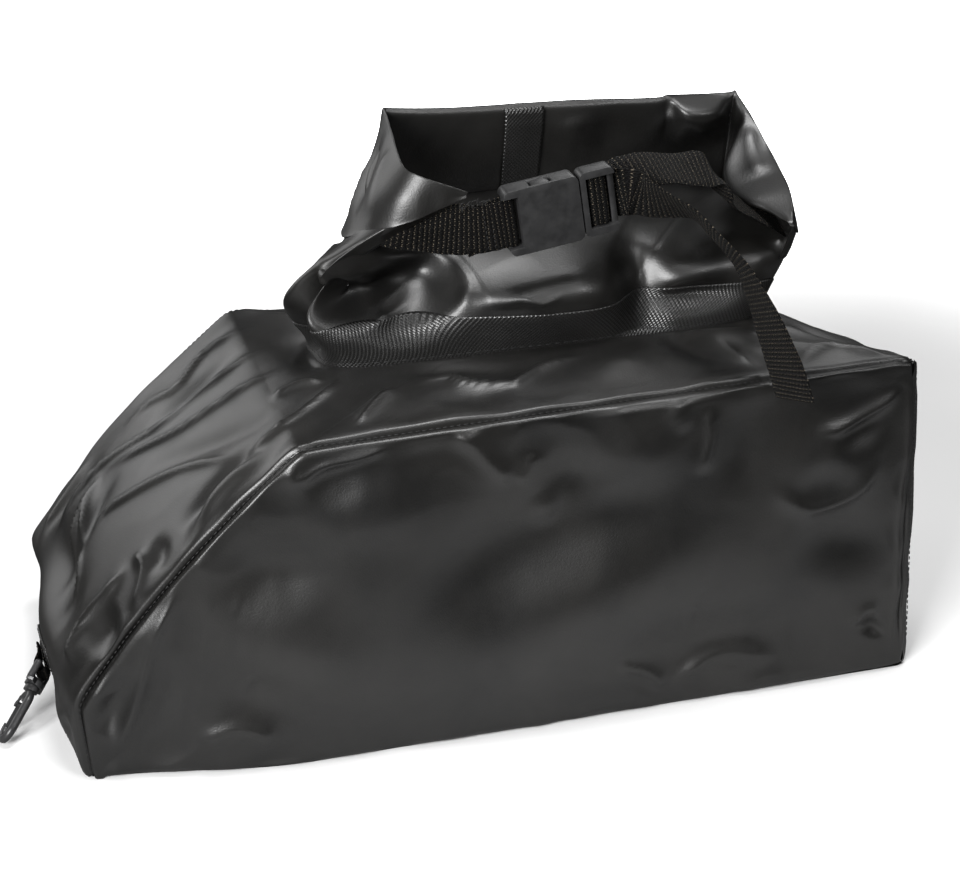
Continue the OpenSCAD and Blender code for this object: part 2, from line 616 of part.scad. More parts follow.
// Webbing sewn flat to the patch, round the eye's bar and back over itself
module hook_loop() {
    layer = web_t + 0.4;
    sewn = 13;
    place = function (a, b) eye_at - nose_normal * a + loop_up * b;
    color(web_black) ribbon(concat(
        [[place(wrap_r, sewn + 3), bar_dir], [place(wrap_r, 6), bar_dir]],
        [for (a = [0:30:180]) [place(wrap_r * cos(a), -wrap_r * sin(a)), bar_dir]],
        [[place(-wrap_r * 0.6, 4.5), bar_dir], [place(wrap_r - layer, sewn - 3), bar_dir],
         [place(wrap_r - layer, sewn + 3), bar_dir]]
    ), loop_w, web_t);
}
eye_half = loop_w / 2 + 2 + eye_r;
base_top = -8;
base_t = 3.5;
head_r = stem_r + 1.4;
module rod(length, r) { cylinder(h = length, r = r, center = true, $fn = 48); }
module swivel_eye() {
    color(plastic_black) at_eye() difference() {
        union() {
            rotate([0, 90, 0]) rod(2 * eye_half, eye_r);
            for (s = [-1, 1]) translate([s * eye_half, 0, 0]) {
                sphere(r = eye_r, $fn = 48);
                translate([0, 0, (base_top - base_t / 2) / 2]) rod(-base_top + base_t / 2, eye_r);
            }
            block(-eye_half, eye_half, -eye_r, eye_r, base_top - base_t, base_top);
            translate([0, 0, base_top - base_t / 2]) rod(base_t, stem_r + 3.4);
        }
        translate([0, 0, base_top - base_t / 2]) rod(base_t + 2, stem_r + stem_gap);
    }
}
hook_r = hook_w / 2;
collar_top = base_top - base_t - touch;
collar_h = 3.4;
ring_top = collar_top - collar_h - hook_r - rod_r + 1;
ring_low = ring_top - hook_side;
pin_r = 0.9;
pin_gap = 0.08;
cheek_t = 1;
cheek_r = 2.2;
gate_w = 2 * rod_r - 2 * cheek_t - 0.6;
nose_seat = ring_low + 1.2;
gate_end = nose_seat + 0.3;
// Part of a ring in the hook's plane
module bend(from, turn) {
    rotate([90, 0, 0]) rotate([0, 0, from])
        rotate_extrude(angle = turn, $fn = 96) translate([hook_r, 0]) circle(r = rod_r, $fn = 48);
}
module hook_body() {
    color(plastic_black) at_eye() rotate([0, 0, hook_turn]) difference() {
        union() {
            translate([0, 0, (collar_top + base_top) / 2]) rod(base_top - collar_top + 2 * touch, stem_r);
            translate([0, 0, base_top + touch + 0.7]) rod(1.4, head_r);
            translate([0, 0, collar_top - collar_h / 2]) rod(collar_h, stem_r + 2.2);
            translate([0, 0, ring_top]) bend(0, 155);
            translate([0, 0, ring_low]) bend(180, 180);
            translate([hook_r, 0, (ring_top + ring_low) / 2]) rod(hook_side, rod_r);
            translate([-hook_r, 0, ring_low + 2]) rod(4, rod_r);
            for (y = [-1, 1]) translate([-hook_r, y * (rod_r - cheek_t / 2), ring_top]) {
                rotate([90, 0, 0]) rod(cheek_t, cheek_r);
                block(0, 3, -cheek_t / 2, cheek_t / 2, -0.6, 5.2);
            }
        }
        translate([-hook_r, 0, ring_top]) rotate([90, 0, 0]) rod(4 * rod_r, pin_r + pin_gap);
        // The lip left on the nose stops the gate from opening outward
        block(-hook_r - gate_t / 2 - 0.15, -hook_r + 2 * rod_r, -rod_r - 1, rod_r + 1, nose_seat, nose_seat + 6);
    }
}
module hook_gate() {
    color(plastic_black) at_eye() rotate([0, 0, hook_turn]) {
        translate([-hook_r, 0, ring_top]) rotate([90, 0, 0]) rod(2 * rod_r, pin_r);
        translate([-hook_r, 0, ring_top]) rotate([90, 0, 0]) rod(gate_w, 1.7);
        block(-hook_r - gate_t / 2, -hook_r + gate_t / 2, -gate_w / 2, gate_w / 2, gate_end, ring_top);
    }
}

side_panel_near();
side_panel_far();
bottom_panel();
nose_panel();
top_panel();
end_panel();
seam_tape_near();
seam_tape_far();
neck_wall();
neck_base_tape();
rolled_closure();
neck_back_tape();
stiffener_strip();
strap_short();
strap_adjustable();
strap_tail();
buckle_socket();
buckle_plug();
latch_upper();
latch_lower();
hook_patch();
hook_loop();
swivel_eye();
hook_body();
hook_gate();
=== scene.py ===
"""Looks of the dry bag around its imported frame. All lengths are millimetres in the row frame."""

import json
import math

import bpy
import numpy as np
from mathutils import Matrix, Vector, noise


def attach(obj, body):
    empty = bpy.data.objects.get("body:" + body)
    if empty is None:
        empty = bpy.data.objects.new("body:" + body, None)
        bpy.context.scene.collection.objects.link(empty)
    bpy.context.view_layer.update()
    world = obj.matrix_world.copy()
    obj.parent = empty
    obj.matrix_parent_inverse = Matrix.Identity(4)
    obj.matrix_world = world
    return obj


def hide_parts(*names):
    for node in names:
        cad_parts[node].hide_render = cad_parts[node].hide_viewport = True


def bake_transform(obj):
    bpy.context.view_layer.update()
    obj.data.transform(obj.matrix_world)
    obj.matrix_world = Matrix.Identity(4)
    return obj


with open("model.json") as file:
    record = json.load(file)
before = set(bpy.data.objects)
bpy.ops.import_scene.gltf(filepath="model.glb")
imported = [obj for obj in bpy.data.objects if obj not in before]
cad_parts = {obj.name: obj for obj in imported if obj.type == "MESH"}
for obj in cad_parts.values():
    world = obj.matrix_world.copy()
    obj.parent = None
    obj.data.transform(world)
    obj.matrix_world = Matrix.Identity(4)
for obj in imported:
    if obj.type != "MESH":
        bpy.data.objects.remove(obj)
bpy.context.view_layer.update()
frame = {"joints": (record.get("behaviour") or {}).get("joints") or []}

NEAR, FAR = -1, 1
MM = 0.001

# ---- the bag's sizes, as in part.scad
BASE_L, HALF_W, BODY_H, NOSE_H = 515, 114, 217, 52
SLOPE_RUN, NOSE_TUCK, END_LEAN, SLUMP = 130, 19, 13, 66
NOSE_X, END_X = -BASE_L / 2, BASE_L / 2
NECK_A, NECK_B, NECK_X, NECK_Y, NECK_FALL = 138, 45, 45, 5, 0.2
NECK_Z = BODY_H + 1


# ---- helpers
def ease(t):
    t = np.clip(t, 0, 1)
    return t * t * (3 - 2 * t)


def unit(v):
    v = np.asarray(v, float)
    return v / np.maximum(np.linalg.norm(v, axis=-1, keepdims=True), 1e-9)


def lerp(a, b, t):
    return a + (b - a) * t


def run_along(points):
    """The distance run along a polyline, at each of its points."""
    return np.r_[0, np.cumsum(np.linalg.norm(np.diff(points, axis=0), axis=1))]


def read_rows(x, places, rows):
    """Every column of the rows, which belong to the places, read at x."""
    return np.stack([np.interp(x, places, column) for column in rows.T], -1)


def graded(n, length, fine=4.5, reach=7.0):
    """n shares from 0 to 1, closer together within a few millimetres of both ends."""
    x = np.linspace(0, length, 2000)
    dense = np.cumsum(1 + fine * (np.exp(-x / reach) + np.exp(-(length - x) / reach)))
    dense = (dense - dense[0]) / (dense[-1] - dense[0])
    return np.interp(np.linspace(0, 1, n), dense, x / length)


def catmull_rom(a, b, c, d, t):
    """The place at share t between b and c, on the curve through a, b, c and d."""
    return 0.5 * (2 * b + (c - a) * t + (2 * a - 5 * b + 4 * c - d) * t**2 + (3 * b - a - 3 * c + d) * t**3)


def smooth_path(points, n):
    """n points evenly along a Catmull-Rom curve through the given ones."""
    p = np.asarray(points, float)
    p = np.vstack([2 * p[0] - p[1], p, 2 * p[-1] - p[-2]])
    out = []
    for i in range(1, len(p) - 2):
        t = np.linspace(0, 1, 24, endpoint=i == len(p) - 3)[:, None]
        out.append(catmull_rom(p[i - 1], p[i], p[i + 1], p[i + 2], t))
    q = np.vstack(out)
    s = run_along(q[:, :3])
    return read_rows(np.linspace(0, s[-1], n), s, q)


def noise_at(P, scale, seed=0.0, stretch=(1, 1, 1)):
    places = P * np.asarray(stretch) / scale + [seed, 0, 0]
    return np.array([noise.noise(Vector(place)) for place in places])


def grid_quads(ids):
    """The corners of each cell in a grid of vertex numbers."""
    return np.stack([ids[:-1, :-1], ids[:-1, 1:], ids[1:, 1:], ids[1:, :-1]], -1).reshape(-1, 4)


class Sheet:
    """A grid of points, rows by columns, that folds are pressed into."""

    def __init__(self, P, closed=False):
        # A plain layout in memory, so that flat() shows these points and not a copy
        self.P = np.array(P, float, order="C")
        self.closed = closed

    def normals(self):
        if self.closed:
            along = np.roll(self.P, -1, 1) - np.roll(self.P, 1, 1)
        else:
            along = np.gradient(self.P, axis=1)
        return unit(np.cross(along, np.gradient(self.P, axis=0)))

    def quads(self):
        ids = np.arange(self.P.shape[0] * self.P.shape[1]).reshape(self.P.shape[:2])
        return grid_quads(np.hstack([ids, ids[:, :1]]) if self.closed else ids)

    def flat(self):
        return self.P.reshape(-1, 3)

    def mesh(self, caps=False):
        """Points and faces; caps close the two ends of a closed sheet."""
        faces = self.quads().tolist()
        if caps:
            rows, cols = self.P.shape[:2]
            faces += [list(range(cols))[::-1], list(range((rows - 1) * cols, rows * cols))]
        return self.flat(), faces


def facing(P, axis, sign):
    """A sheet whose normals point along an axis, to the side of the sign."""
    sheet = Sheet(P)
    if sheet.normals()[..., axis].mean() * sign < 0:
        sheet = Sheet(P[:, ::-1])
    return sheet


def outward(sheet, middle):
    """The sheet's normals, turned away from its middle."""
    N = sheet.normals()
    return -N if ((sheet.P - middle) * N).sum() < 0 else N


def near_line(P, pts):
    """Distance of each point from a polyline, and the share along it of the nearest place."""
    pts = np.asarray(pts, float)
    start = run_along(pts)
    best = np.full(len(P), 1e9)
    share = np.zeros(len(P))
    for i, a in enumerate(pts[:-1]):
        d = pts[i + 1] - a
        t = np.clip(((P - a) @ d) / (d @ d), 0, 1)
        dist = np.linalg.norm(P - a - t[:, None] * d, axis=1)
        k = dist < best
        best[k] = dist[k]
        share[k] = lerp(start[i], start[i + 1], t[k]) / start[-1]
    return best, share


def off_lines(P, lines):
    """Distance of each point from the nearest of several lines."""
    return np.min([near_line(P, line)[0] for line in lines], axis=0)


# The two kinds of fold
RIDGE, SOFT = "ridge", "soft"


def press(P, N, folds):
    """Presses folds into the points: sharp ridges or soft swells, which sink where the height is negative."""
    for height, width, kind, *pts in folds:
        pts = np.asarray(pts, float)
        near = np.linalg.norm(P - pts.mean(0), axis=1) < np.ptp(pts, axis=0).max() + 4 * width
        if not near.any():
            continue
        d, s = near_line(P[near], smooth_path(pts, 14) if len(pts) > 2 else pts)
        x = d / width
        if kind == SOFT:
            fade, form = 0.45, np.exp(-x * x)
        else:
            crest = np.sqrt(x * x + 0.02) - 0.14
            fade, form = 0.25, np.exp(-1.5 * crest) * np.clip(1.25 - 0.42 * x, -0.1, 1.2)
        form = form * ease(s / fade) * ease((1 - s) / fade)
        P[near] += N[near] * (height * np.where(x > 4, 0, form))[:, None]


def push(P, pushes):
    """Moves the points around each centre, within its radii."""
    for centre, radii, vec in pushes:
        q = (P - np.asarray(centre, float)) / np.asarray(radii, float)
        P += np.exp(-(q * q).sum(1))[:, None] * np.asarray(vec, float)


def crumple(P, N, amount, scale, seed=0.0, stretch=(1, 1, 1)):
    """Shallow buckles as stiff coated cloth has: sharp crests and smooth hollows."""
    a = 1 - 2.2 * np.abs(noise_at(P, scale, seed, stretch))
    b = noise_at(P, scale * 2.3, seed + 31, stretch)
    P += N * (amount * (0.55 * a * (0.4 + np.clip(b + 0.3, 0, 1)) + 0.6 * b))[:, None]


def build(name, shape, material, body=None, replaces=(), uv=None, sharp=None, thick=None):
    """A piece from points and faces. It rides on its body and shows the nodes that it replaces."""
    verts, faces = shape
    mesh = bpy.data.meshes.new(name)
    mesh.from_pydata((verts * MM).tolist(), [], faces)
    mesh.update()
    if uv is not None:
        layer = mesh.uv_layers.new(name="UVMap")
        corners = np.empty(len(mesh.loops), dtype=np.int32)
        mesh.loops.foreach_get("vertex_index", corners)
        layer.data.foreach_set("uv", np.asarray(uv, np.float32)[corners].ravel())
    mesh.polygons.foreach_set("use_smooth", [True] * len(mesh.polygons))
    mesh.materials.append(material)
    piece = bpy.data.objects.new(name, mesh)
    bpy.context.scene.collection.objects.link(piece)
    if sharp is not None:
        mesh.set_sharp_from_angle(angle=math.radians(sharp))
    if thick is not None:
        piece.modifiers.new("thickness", "SOLIDIFY").thickness = thick * MM
    if body:
        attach(piece, body)
    if replaces:
        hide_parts(*replaces)
    return piece


# ---- materials
SCRIM_PITCH = 2.4


class Nodes:
    """What the materials and the world need from a node tree, in short calls."""

    def __init__(self, owner):
        owner.use_nodes = True
        self.tree = owner.node_tree
        self.shader = self.tree.nodes.get("Principled BSDF")

    def add(self, kind, **values):
        node = self.tree.nodes.new("ShaderNode" + kind)
        for name, value in values.items():
            node.inputs[name].default_value = value
        return node

    def link(self, source, target):
        self.tree.links.new(source, target)

    def give(self, name, value):
        """Sets an input of the shader to a number or to another node's output."""
        if isinstance(value, (int, float)):
            self.shader.inputs[name].default_value = value
        else:
            self.link(value, self.shader.inputs[name])

    def calc(self, operation, *values):
        node = self.tree.nodes.new("ShaderNodeMath")
        node.operation = operation
        for socket, value in zip(node.inputs, values):
            if isinstance(value, (int, float)):
                socket.default_value = value
            else:
                self.link(value, socket)
        return node.outputs[0]

    def wave(self, value, pitch):
        """A sine wave over a length in millimetres."""
        return self.calc("SINE", self.calc("MULTIPLY", value, 2 * math.pi / pitch))

    def place(self):
        return self.add("TexCoord").outputs["Object"]

    def split(self, vector):
        node = self.add("SeparateXYZ")
        self.link(vector, node.inputs[0])
        return node.outputs[0], node.outputs[1]

    def cloth_place(self):
        """The place on a sheet or a strap in millimetres, from its UV map."""
        node = self.add("UVMap")
        node.uv_map = "UVMap"
        return self.split(node.outputs["UV"])

    def noise(self, place, **values):
        node = self.add("TexNoise", **values)
        self.link(place, node.inputs["Vector"])
        return node.outputs["Fac"]

    def ramp(self, value, *stops):
        node = self.add("ValToRGB")
        elements = node.color_ramp.elements
        while len(elements) < len(stops):
            elements.new(0.5)
        for element, (position, colour) in zip(elements, stops):
            element.position = position
            element.color = (*colour, 1)
        self.link(value, node.inputs["Fac"])
        return node.outputs["Color"]

    def bump(self, height, strength, distance):
        node = self.add("Bump", Strength=strength, Distance=distance)
        self.link(height, node.inputs["Height"])
        self.give("Normal", node.outputs["Normal"])


def coated(name, dark, light, rough, scrim=0.0):
    """Coated tarpaulin: a fine pebbled skin with an uneven sheen, over a woven scrim where one is given."""
    material = bpy.data.materials.new(name)
    nodes = Nodes(material)
    place = nodes.place()
    mottling = nodes.noise(place, Scale=11.0, Detail=7.0, Roughness=0.58, Distortion=0.6)
    nodes.give("Base Color", nodes.ramp(mottling, (0.36, dark), (0.66, light)))
    cloudy = nodes.noise(place, Scale=14.0, Detail=5.0, Roughness=0.55)
    nodes.give("Roughness", nodes.calc("MULTIPLY_ADD", cloudy, 0.24, rough - 0.12))
    nodes.give("Specular IOR Level", 0.75)
    pebble = nodes.noise(place, Scale=900.0, Detail=3.0, Roughness=0.5)
    height = nodes.calc("MULTIPLY", pebble, 0.5)
    if scrim:
        weave = nodes.calc("MULTIPLY", *(nodes.wave(way, SCRIM_PITCH) for way in nodes.cloth_place()))
        height = nodes.calc("ADD", height, nodes.calc("MULTIPLY", weave, scrim))
    nodes.bump(height, 0.5, 0.0004)
    return material


def webbing(name):
    """Herringbone webbing: V-shaped picks across the strap, from the piece's UV map in millimetres; its
    colour is darkened as painted shade in the weave's gaps and lightened as a painted highlight on its raised
    threads.
    """
    material = bpy.data.materials.new(name)
    nodes = Nodes(material)
    u, v = nodes.cloth_place()
    pick = nodes.wave(nodes.calc("ADD", u, nodes.calc("PINGPONG", v, 2.5)), 1.9)
    warp, rib = nodes.wave(v, 1.1), nodes.wave(u, 2.8)
    height = nodes.calc("ADD", nodes.calc("MULTIPLY", pick, 0.4), nodes.calc("MULTIPLY", warp, 0.3))
    fuzz = nodes.noise(nodes.place(), Scale=1400.0, Detail=2.0)
    for relief, share in ((rib, 0.7), (fuzz, 0.8)):
        height = nodes.calc("ADD", height, nodes.calc("MULTIPLY", relief, share))
    # The colour follows the relief: painted shade in the gaps, a painted highlight on the raised threads
    shaded_gaps, dark = (0.0005, 0.0005, 0.0005), (0.0016, 0.0015, 0.0013)
    half_lit, lit = (0.012, 0.0105, 0.0085), (0.18, 0.15, 0.11)
    shade = nodes.calc("MULTIPLY_ADD", height, 0.44, 0.2)
    nodes.give("Base Color", nodes.ramp(shade, (0.3, shaded_gaps), (0.6, dark), (0.78, half_lit), (1.0, lit)))
    nodes.give("Roughness", 0.62)
    nodes.give("Sheen Weight", 0.02)
    nodes.give("Specular IOR Level", 0.1)
    nodes.bump(height, 0.9, 0.0005)
    return material


def moulded(name, dark, light, rough):
    """Moulded plastic: spark-eroded satin skin with slightly uneven gloss."""
    material = bpy.data.materials.new(name)
    nodes = Nodes(material)
    place = nodes.place()
    patchy = nodes.noise(place, Scale=160.0, Detail=5.0)
    nodes.give("Base Color", nodes.ramp(patchy, (0.3, dark), (0.7, light)))
    nodes.give("Roughness", nodes.calc("MULTIPLY_ADD", patchy, 0.14, rough - 0.07))
    nodes.bump(nodes.noise(place, Scale=2600.0, Detail=2.0), 0.25, 0.0001)
    return material


TARP = coated("tarpaulin", (0.0013, 0.00125, 0.0011), (0.0092, 0.0087, 0.0079), 0.4)
TAPE = coated("welded_tape", (0.005, 0.0049, 0.0047), (0.010, 0.0097, 0.0093), 0.36, scrim=0.95)
WEB = webbing("webbing")
PLASTIC = moulded("buckle_plastic", (0.018, 0.018, 0.0185), (0.03, 0.03, 0.0305), 0.38)
HOOK = moulded("hook_plastic", (0.02, 0.02, 0.021), (0.03, 0.03, 0.031), 0.34)
THREAD = moulded("thread", (0.004,) * 3, (0.010,) * 3, 0.6)
STRIP = moulded("stiffener", (0.7, 0.7, 0.68), (0.78, 0.78, 0.76), 0.4)


# ---- seam curves, smoothed at their corners
# Places round a side's seam where the nose, the slope, the top, the end and the base end
NOSE_C, SLOPE_C, END_C, HEEL_C, LOOP_C = 6, 16, 32, 38, 64


def side_y(side, x):
    tuck = NOSE_TUCK if side == NEAR else 3
    return side * (HALF_W - tuck * (1 - ease((x - NOSE_X) / SLOPE_RUN)))


def seam_corners(side):
    """Foot and brow of the nose, upper end of the slope, upper corner of the end, heel."""
    far = side == FAR
    nose_y = float(side_y(side, NOSE_X))
    return np.array([
        (NOSE_X + (12 if far else 2), nose_y, 0),
        (NOSE_X - (6 if far else 1), nose_y, NOSE_H),
        (NOSE_X + SLOPE_RUN, side * (HALF_W - (12 if far else 0)), BODY_H - (16 if far else 8)),
        (END_X - END_LEAN, side * (HALF_W - (8 if far else 0)), BODY_H - (SLUMP if far else 0)),
        (END_X, side * HALF_W, 0),
    ])


def seam_table(side):
    corners = seam_corners(side)
    places = [0, NOSE_C, SLOPE_C, END_C, HEEL_C, LOOP_C]
    c = np.arange(0, LOOP_C, 0.05)
    P = np.zeros((len(c), 3))
    for i, (start, stop) in enumerate(zip(places, places[1:])):
        k = (c >= start) & (c < stop)
        t = (c[k] - start) / (stop - start)
        q = lerp(corners[i], corners[(i + 1) % len(corners)], t[:, None])
        if start == NOSE_C:
            q[:, 1] = side_y(side, q[:, 0]) * (1 - t) + q[:, 1] * t
            q[:, 0] -= 4 * np.sin(np.pi * t)
            q[:, 2] += 5 * np.sin(np.pi * t)
        if start == HEEL_C:
            q[:, 1] = side_y(side, q[:, 0])
        P[k] = q
    # Round the corners by averaging along the curve
    closed = np.vstack([P, P[:1]])
    s = run_along(closed)
    even = np.arange(0, s[-1], 1.0)
    Q = read_rows(even, s, closed)
    reach = range(-16, 17)
    w = np.exp(-(np.array(reach) / 5.5) ** 2)
    R = sum(share * np.roll(Q, -step, 0) for share, step in zip(w / w.sum(), reach))
    S = read_rows(s[:-1], np.r_[even, s[-1]], np.vstack([R, R[:1]]))
    S[:, 2] = np.maximum(S[:, 2], 0.25)
    return np.r_[c, LOOP_C], np.vstack([S, S[:1]])


SEAM = {side: seam_table(side) for side in (NEAR, FAR)}


def seam(side, c):
    return read_rows(np.asarray(c, float) % LOOP_C, *SEAM[side])


def seam_lip(P, N, lines, lift):
    """The panels swell and pucker beside a seam, and the seam itself lies sunk in a groove."""
    reach, sink, groove = 3.4, 2.6, 1.7
    d = off_lines(P, lines)
    x = d / reach
    shoulder = np.where(x < 1, x * (2 - x), np.exp(-(((x - 1) / 3.0) ** 2)))
    pucker = 1 + 0.8 * noise_at(P, 24, 41.0)
    P += N * (lift * pucker * shoulder - sink * np.exp(-((d / groove) ** 2)))[:, None]


# ---- folds, in the row's own millimetres
# (height, width, kind, points ...): ridges and hollows of the slack fabric
SLOPE_FOLDS = [
    # the long crease from the neck's left foot over the slope, and the crests that run beside it
    (3.2, 5, RIDGE, (-86, -44, 216), (-101, -60, 213), (-124, -75, 208), (-141, -79, 197), (-153, -71, 187)),
    (3.0, 5, RIDGE, (-153, -71, 187), (-166, -55, 177), (-185, -31, 162), (-210, -9, 138), (-224, 3, 123),
     (-238, 6, 104)),
    (-3.0, 9, SOFT, (-112, -50, 211), (-136, -56, 200), (-158, -42, 184), (-182, -18, 164), (-206, 4, 141)),
    (3.4, 5, RIDGE, (-110, -5, 211), (-124, -10, 207), (-140, -5, 196), (-158, 0, 183), (-178, 8, 167),
     (-196, 24, 151), (-220, 50, 124)),
    (3.6, 5, RIDGE, (-220, 53, 124), (-231, 42, 112), (-246, 26, 93), (-256, 8, 76), (-261, -4, 54)),
    (-3.6, 8, SOFT, (-210, 30, 136), (-226, 22, 118), (-242, 8, 98), (-254, -8, 76)),
    (3.4, 5, RIDGE, (-112, 70, 201), (-139, 72, 193), (-151, 74, 184), (-170, 60, 171), (-184, 72, 157),
     (-203, 82, 137)),
    (-3.6, 9, SOFT, (-128, 46, 203), (-150, 44, 188), (-172, 40, 171), (-196, 44, 149)),
    (3.6, 5, RIDGE, (-106, 34, 210), (-143, 29, 193), (-166, 32, 175), (-190, 34, 156), (-215, 56, 129),
     (-227, 62, 115), (-244, 66, 94), (-258, 63, 70)),
    (-3.4, 8, SOFT, (-212, 74, 128), (-230, 78, 108), (-248, 80, 84), (-258, 80, 60)),
    (3.0, 5, RIDGE, (-220, 53, 124), (-235, 30, 108), (-246, -7, 93), (-254, -20, 78), (-259, -24, 56)),
    (3.0, 6, RIDGE, (-222, 94, 118), (-240, 92, 96), (-254, 88, 72), (-261, 80, 46)),
    (2.6, 5, RIDGE, (-236, -34, 98), (-248, -40, 78), (-256, -40, 56), (-260, -34, 34)),
    (-3.0, 8, SOFT, (-244, -26, 88), (-254, -30, 66), (-260, -24, 40)),
    (2.6, 6, RIDGE, (-262, 40, 40), (-262, 20, 24), (-262, -10, 16)),
    # the tube along the near seam and the hollow behind it
    (7.0, 9, SOFT, (-134, -98, 204), (-148, -92, 192), (-164, -91, 177), (-180, -94, 161), (-192, -97, 147)),
    (-5.5, 8, SOFT, (-140, -80, 199), (-153, -76, 187), (-171, -80, 170), (-184, -82, 157), (-192, -84, 147)),
    # the dog-eared lump low on the slope
    (3.8, 6, RIDGE, (-217, -60, 125), (-211, -76, 128), (-215, -88, 117), (-222, -95, 106)),
    (4.2, 7, RIDGE, (-219, -63, 123), (-232, -62, 104), (-246, -58, 86), (-253, -66, 72), (-250, -84, 66)),
    (-5.0, 13, SOFT, (-228, -84, 104), (-238, -82, 90), (-244, -80, 76)),
    (-3.4, 7, SOFT, (-206, -66, 136), (-203, -80, 136), (-208, -92, 128)),
    (-3.4, 8, SOFT, (-254, -84, 34), (-258, -74, 24), (-260, -60, 14)),
    (3.2, 7, RIDGE, (-250, -88, 52), (-256, -76, 44), (-259, -60, 40)),
]
NOSE_PUSHES = [
    ((-264, 14, 80), (24, 44, 17), (13, 0, 0)),
    ((-267, -8, 36), (20, 26, 17), (-1.6, 0, 0)),
    ((-266, 62, 40), (24, 34, 30), (7, 0, 0)),
    ((-262, -62, 22), (20, 26, 20), (-8, 0, 0)),
    ((-254, -70, 70), (16, 16, 20), (-5, 0, 0)),
]
TOP_FOLDS = [
    (2.8, 5, RIDGE, (-58, -68, 217), (-46, -66, 217), (-27, -64, 218), (-20, -74, 217), (5, -83, 217),
     (20, -73, 218), (41, -63, 219), (62, -58, 219)),
    (-3.0, 8, SOFT, (-66, -56, 217), (-42, -54, 218), (-18, -56, 218), (6, -64, 218), (28, -58, 218)),
    (2.6, 6, RIDGE, (-93, -104, 212), (-79, -86, 215), (-62, -68, 217)),
    (-2.6, 9, SOFT, (-48, -86, 216), (-22, -90, 217), (4, -98, 217)),
    (3.4, 16, SOFT, (44, -84, 218), (72, -80, 219), (98, -76, 219)),
    (7.0, 14, SOFT, (110, -60, 221), (146, -66, 221), (182, -72, 220)),
    (-4.4, 9, SOFT, (106, -40, 220), (120, -66, 220), (130, -96, 217)),
    (3.0, 6, RIDGE, (122, -42, 220), (133, -62, 220), (142, -90, 218), (150, -106, 215)),
    (-2.8, 9, SOFT, (148, -52, 219), (160, -76, 219), (172, -98, 217)),
    (2.6, 7, RIDGE, (171, -108, 216), (190, -92, 218), (205, -86, 219), (214, -96, 218), (230, -108, 217)),
    (3.4, 8, RIDGE, (184, -38, 217), (204, -58, 217), (222, -86, 217)),
    (-4.0, 12, SOFT, (196, -20, 212), (212, -44, 213), (228, -76, 214)),
    (-5.0, 16, SOFT, (196, 20, 205), (214, 40, 190), (228, 70, 170)),
    (4.5, 12, RIDGE, (186, 40, 204), (206, 66, 186), (226, 92, 163)),
    (4.0, 11, RIDGE, (120, 56, 200), (142, 78, 188), (166, 98, 174)),
    (-4.0, 13, SOFT, (60, 58, 202), (84, 78, 192), (110, 98, 180)),
    (4.2, 12, RIDGE, (10, 54, 205), (30, 76, 198), (52, 98, 188)),
    (3.6, 10, RIDGE, (-52, 54, 206), (-40, 76, 202), (-24, 98, 196)),
    (-3.0, 10, SOFT, (-86, 50, 207), (-74, 74, 204), (-62, 96, 199)),
    (-2.6, 8, SOFT, (-104, -34, 214), (-100, -14, 214), (-104, 10, 213)),
    (2.8, 6, RIDGE, (-96, -46, 215), (-112, -40, 212), (-130, -40, 204)),
]
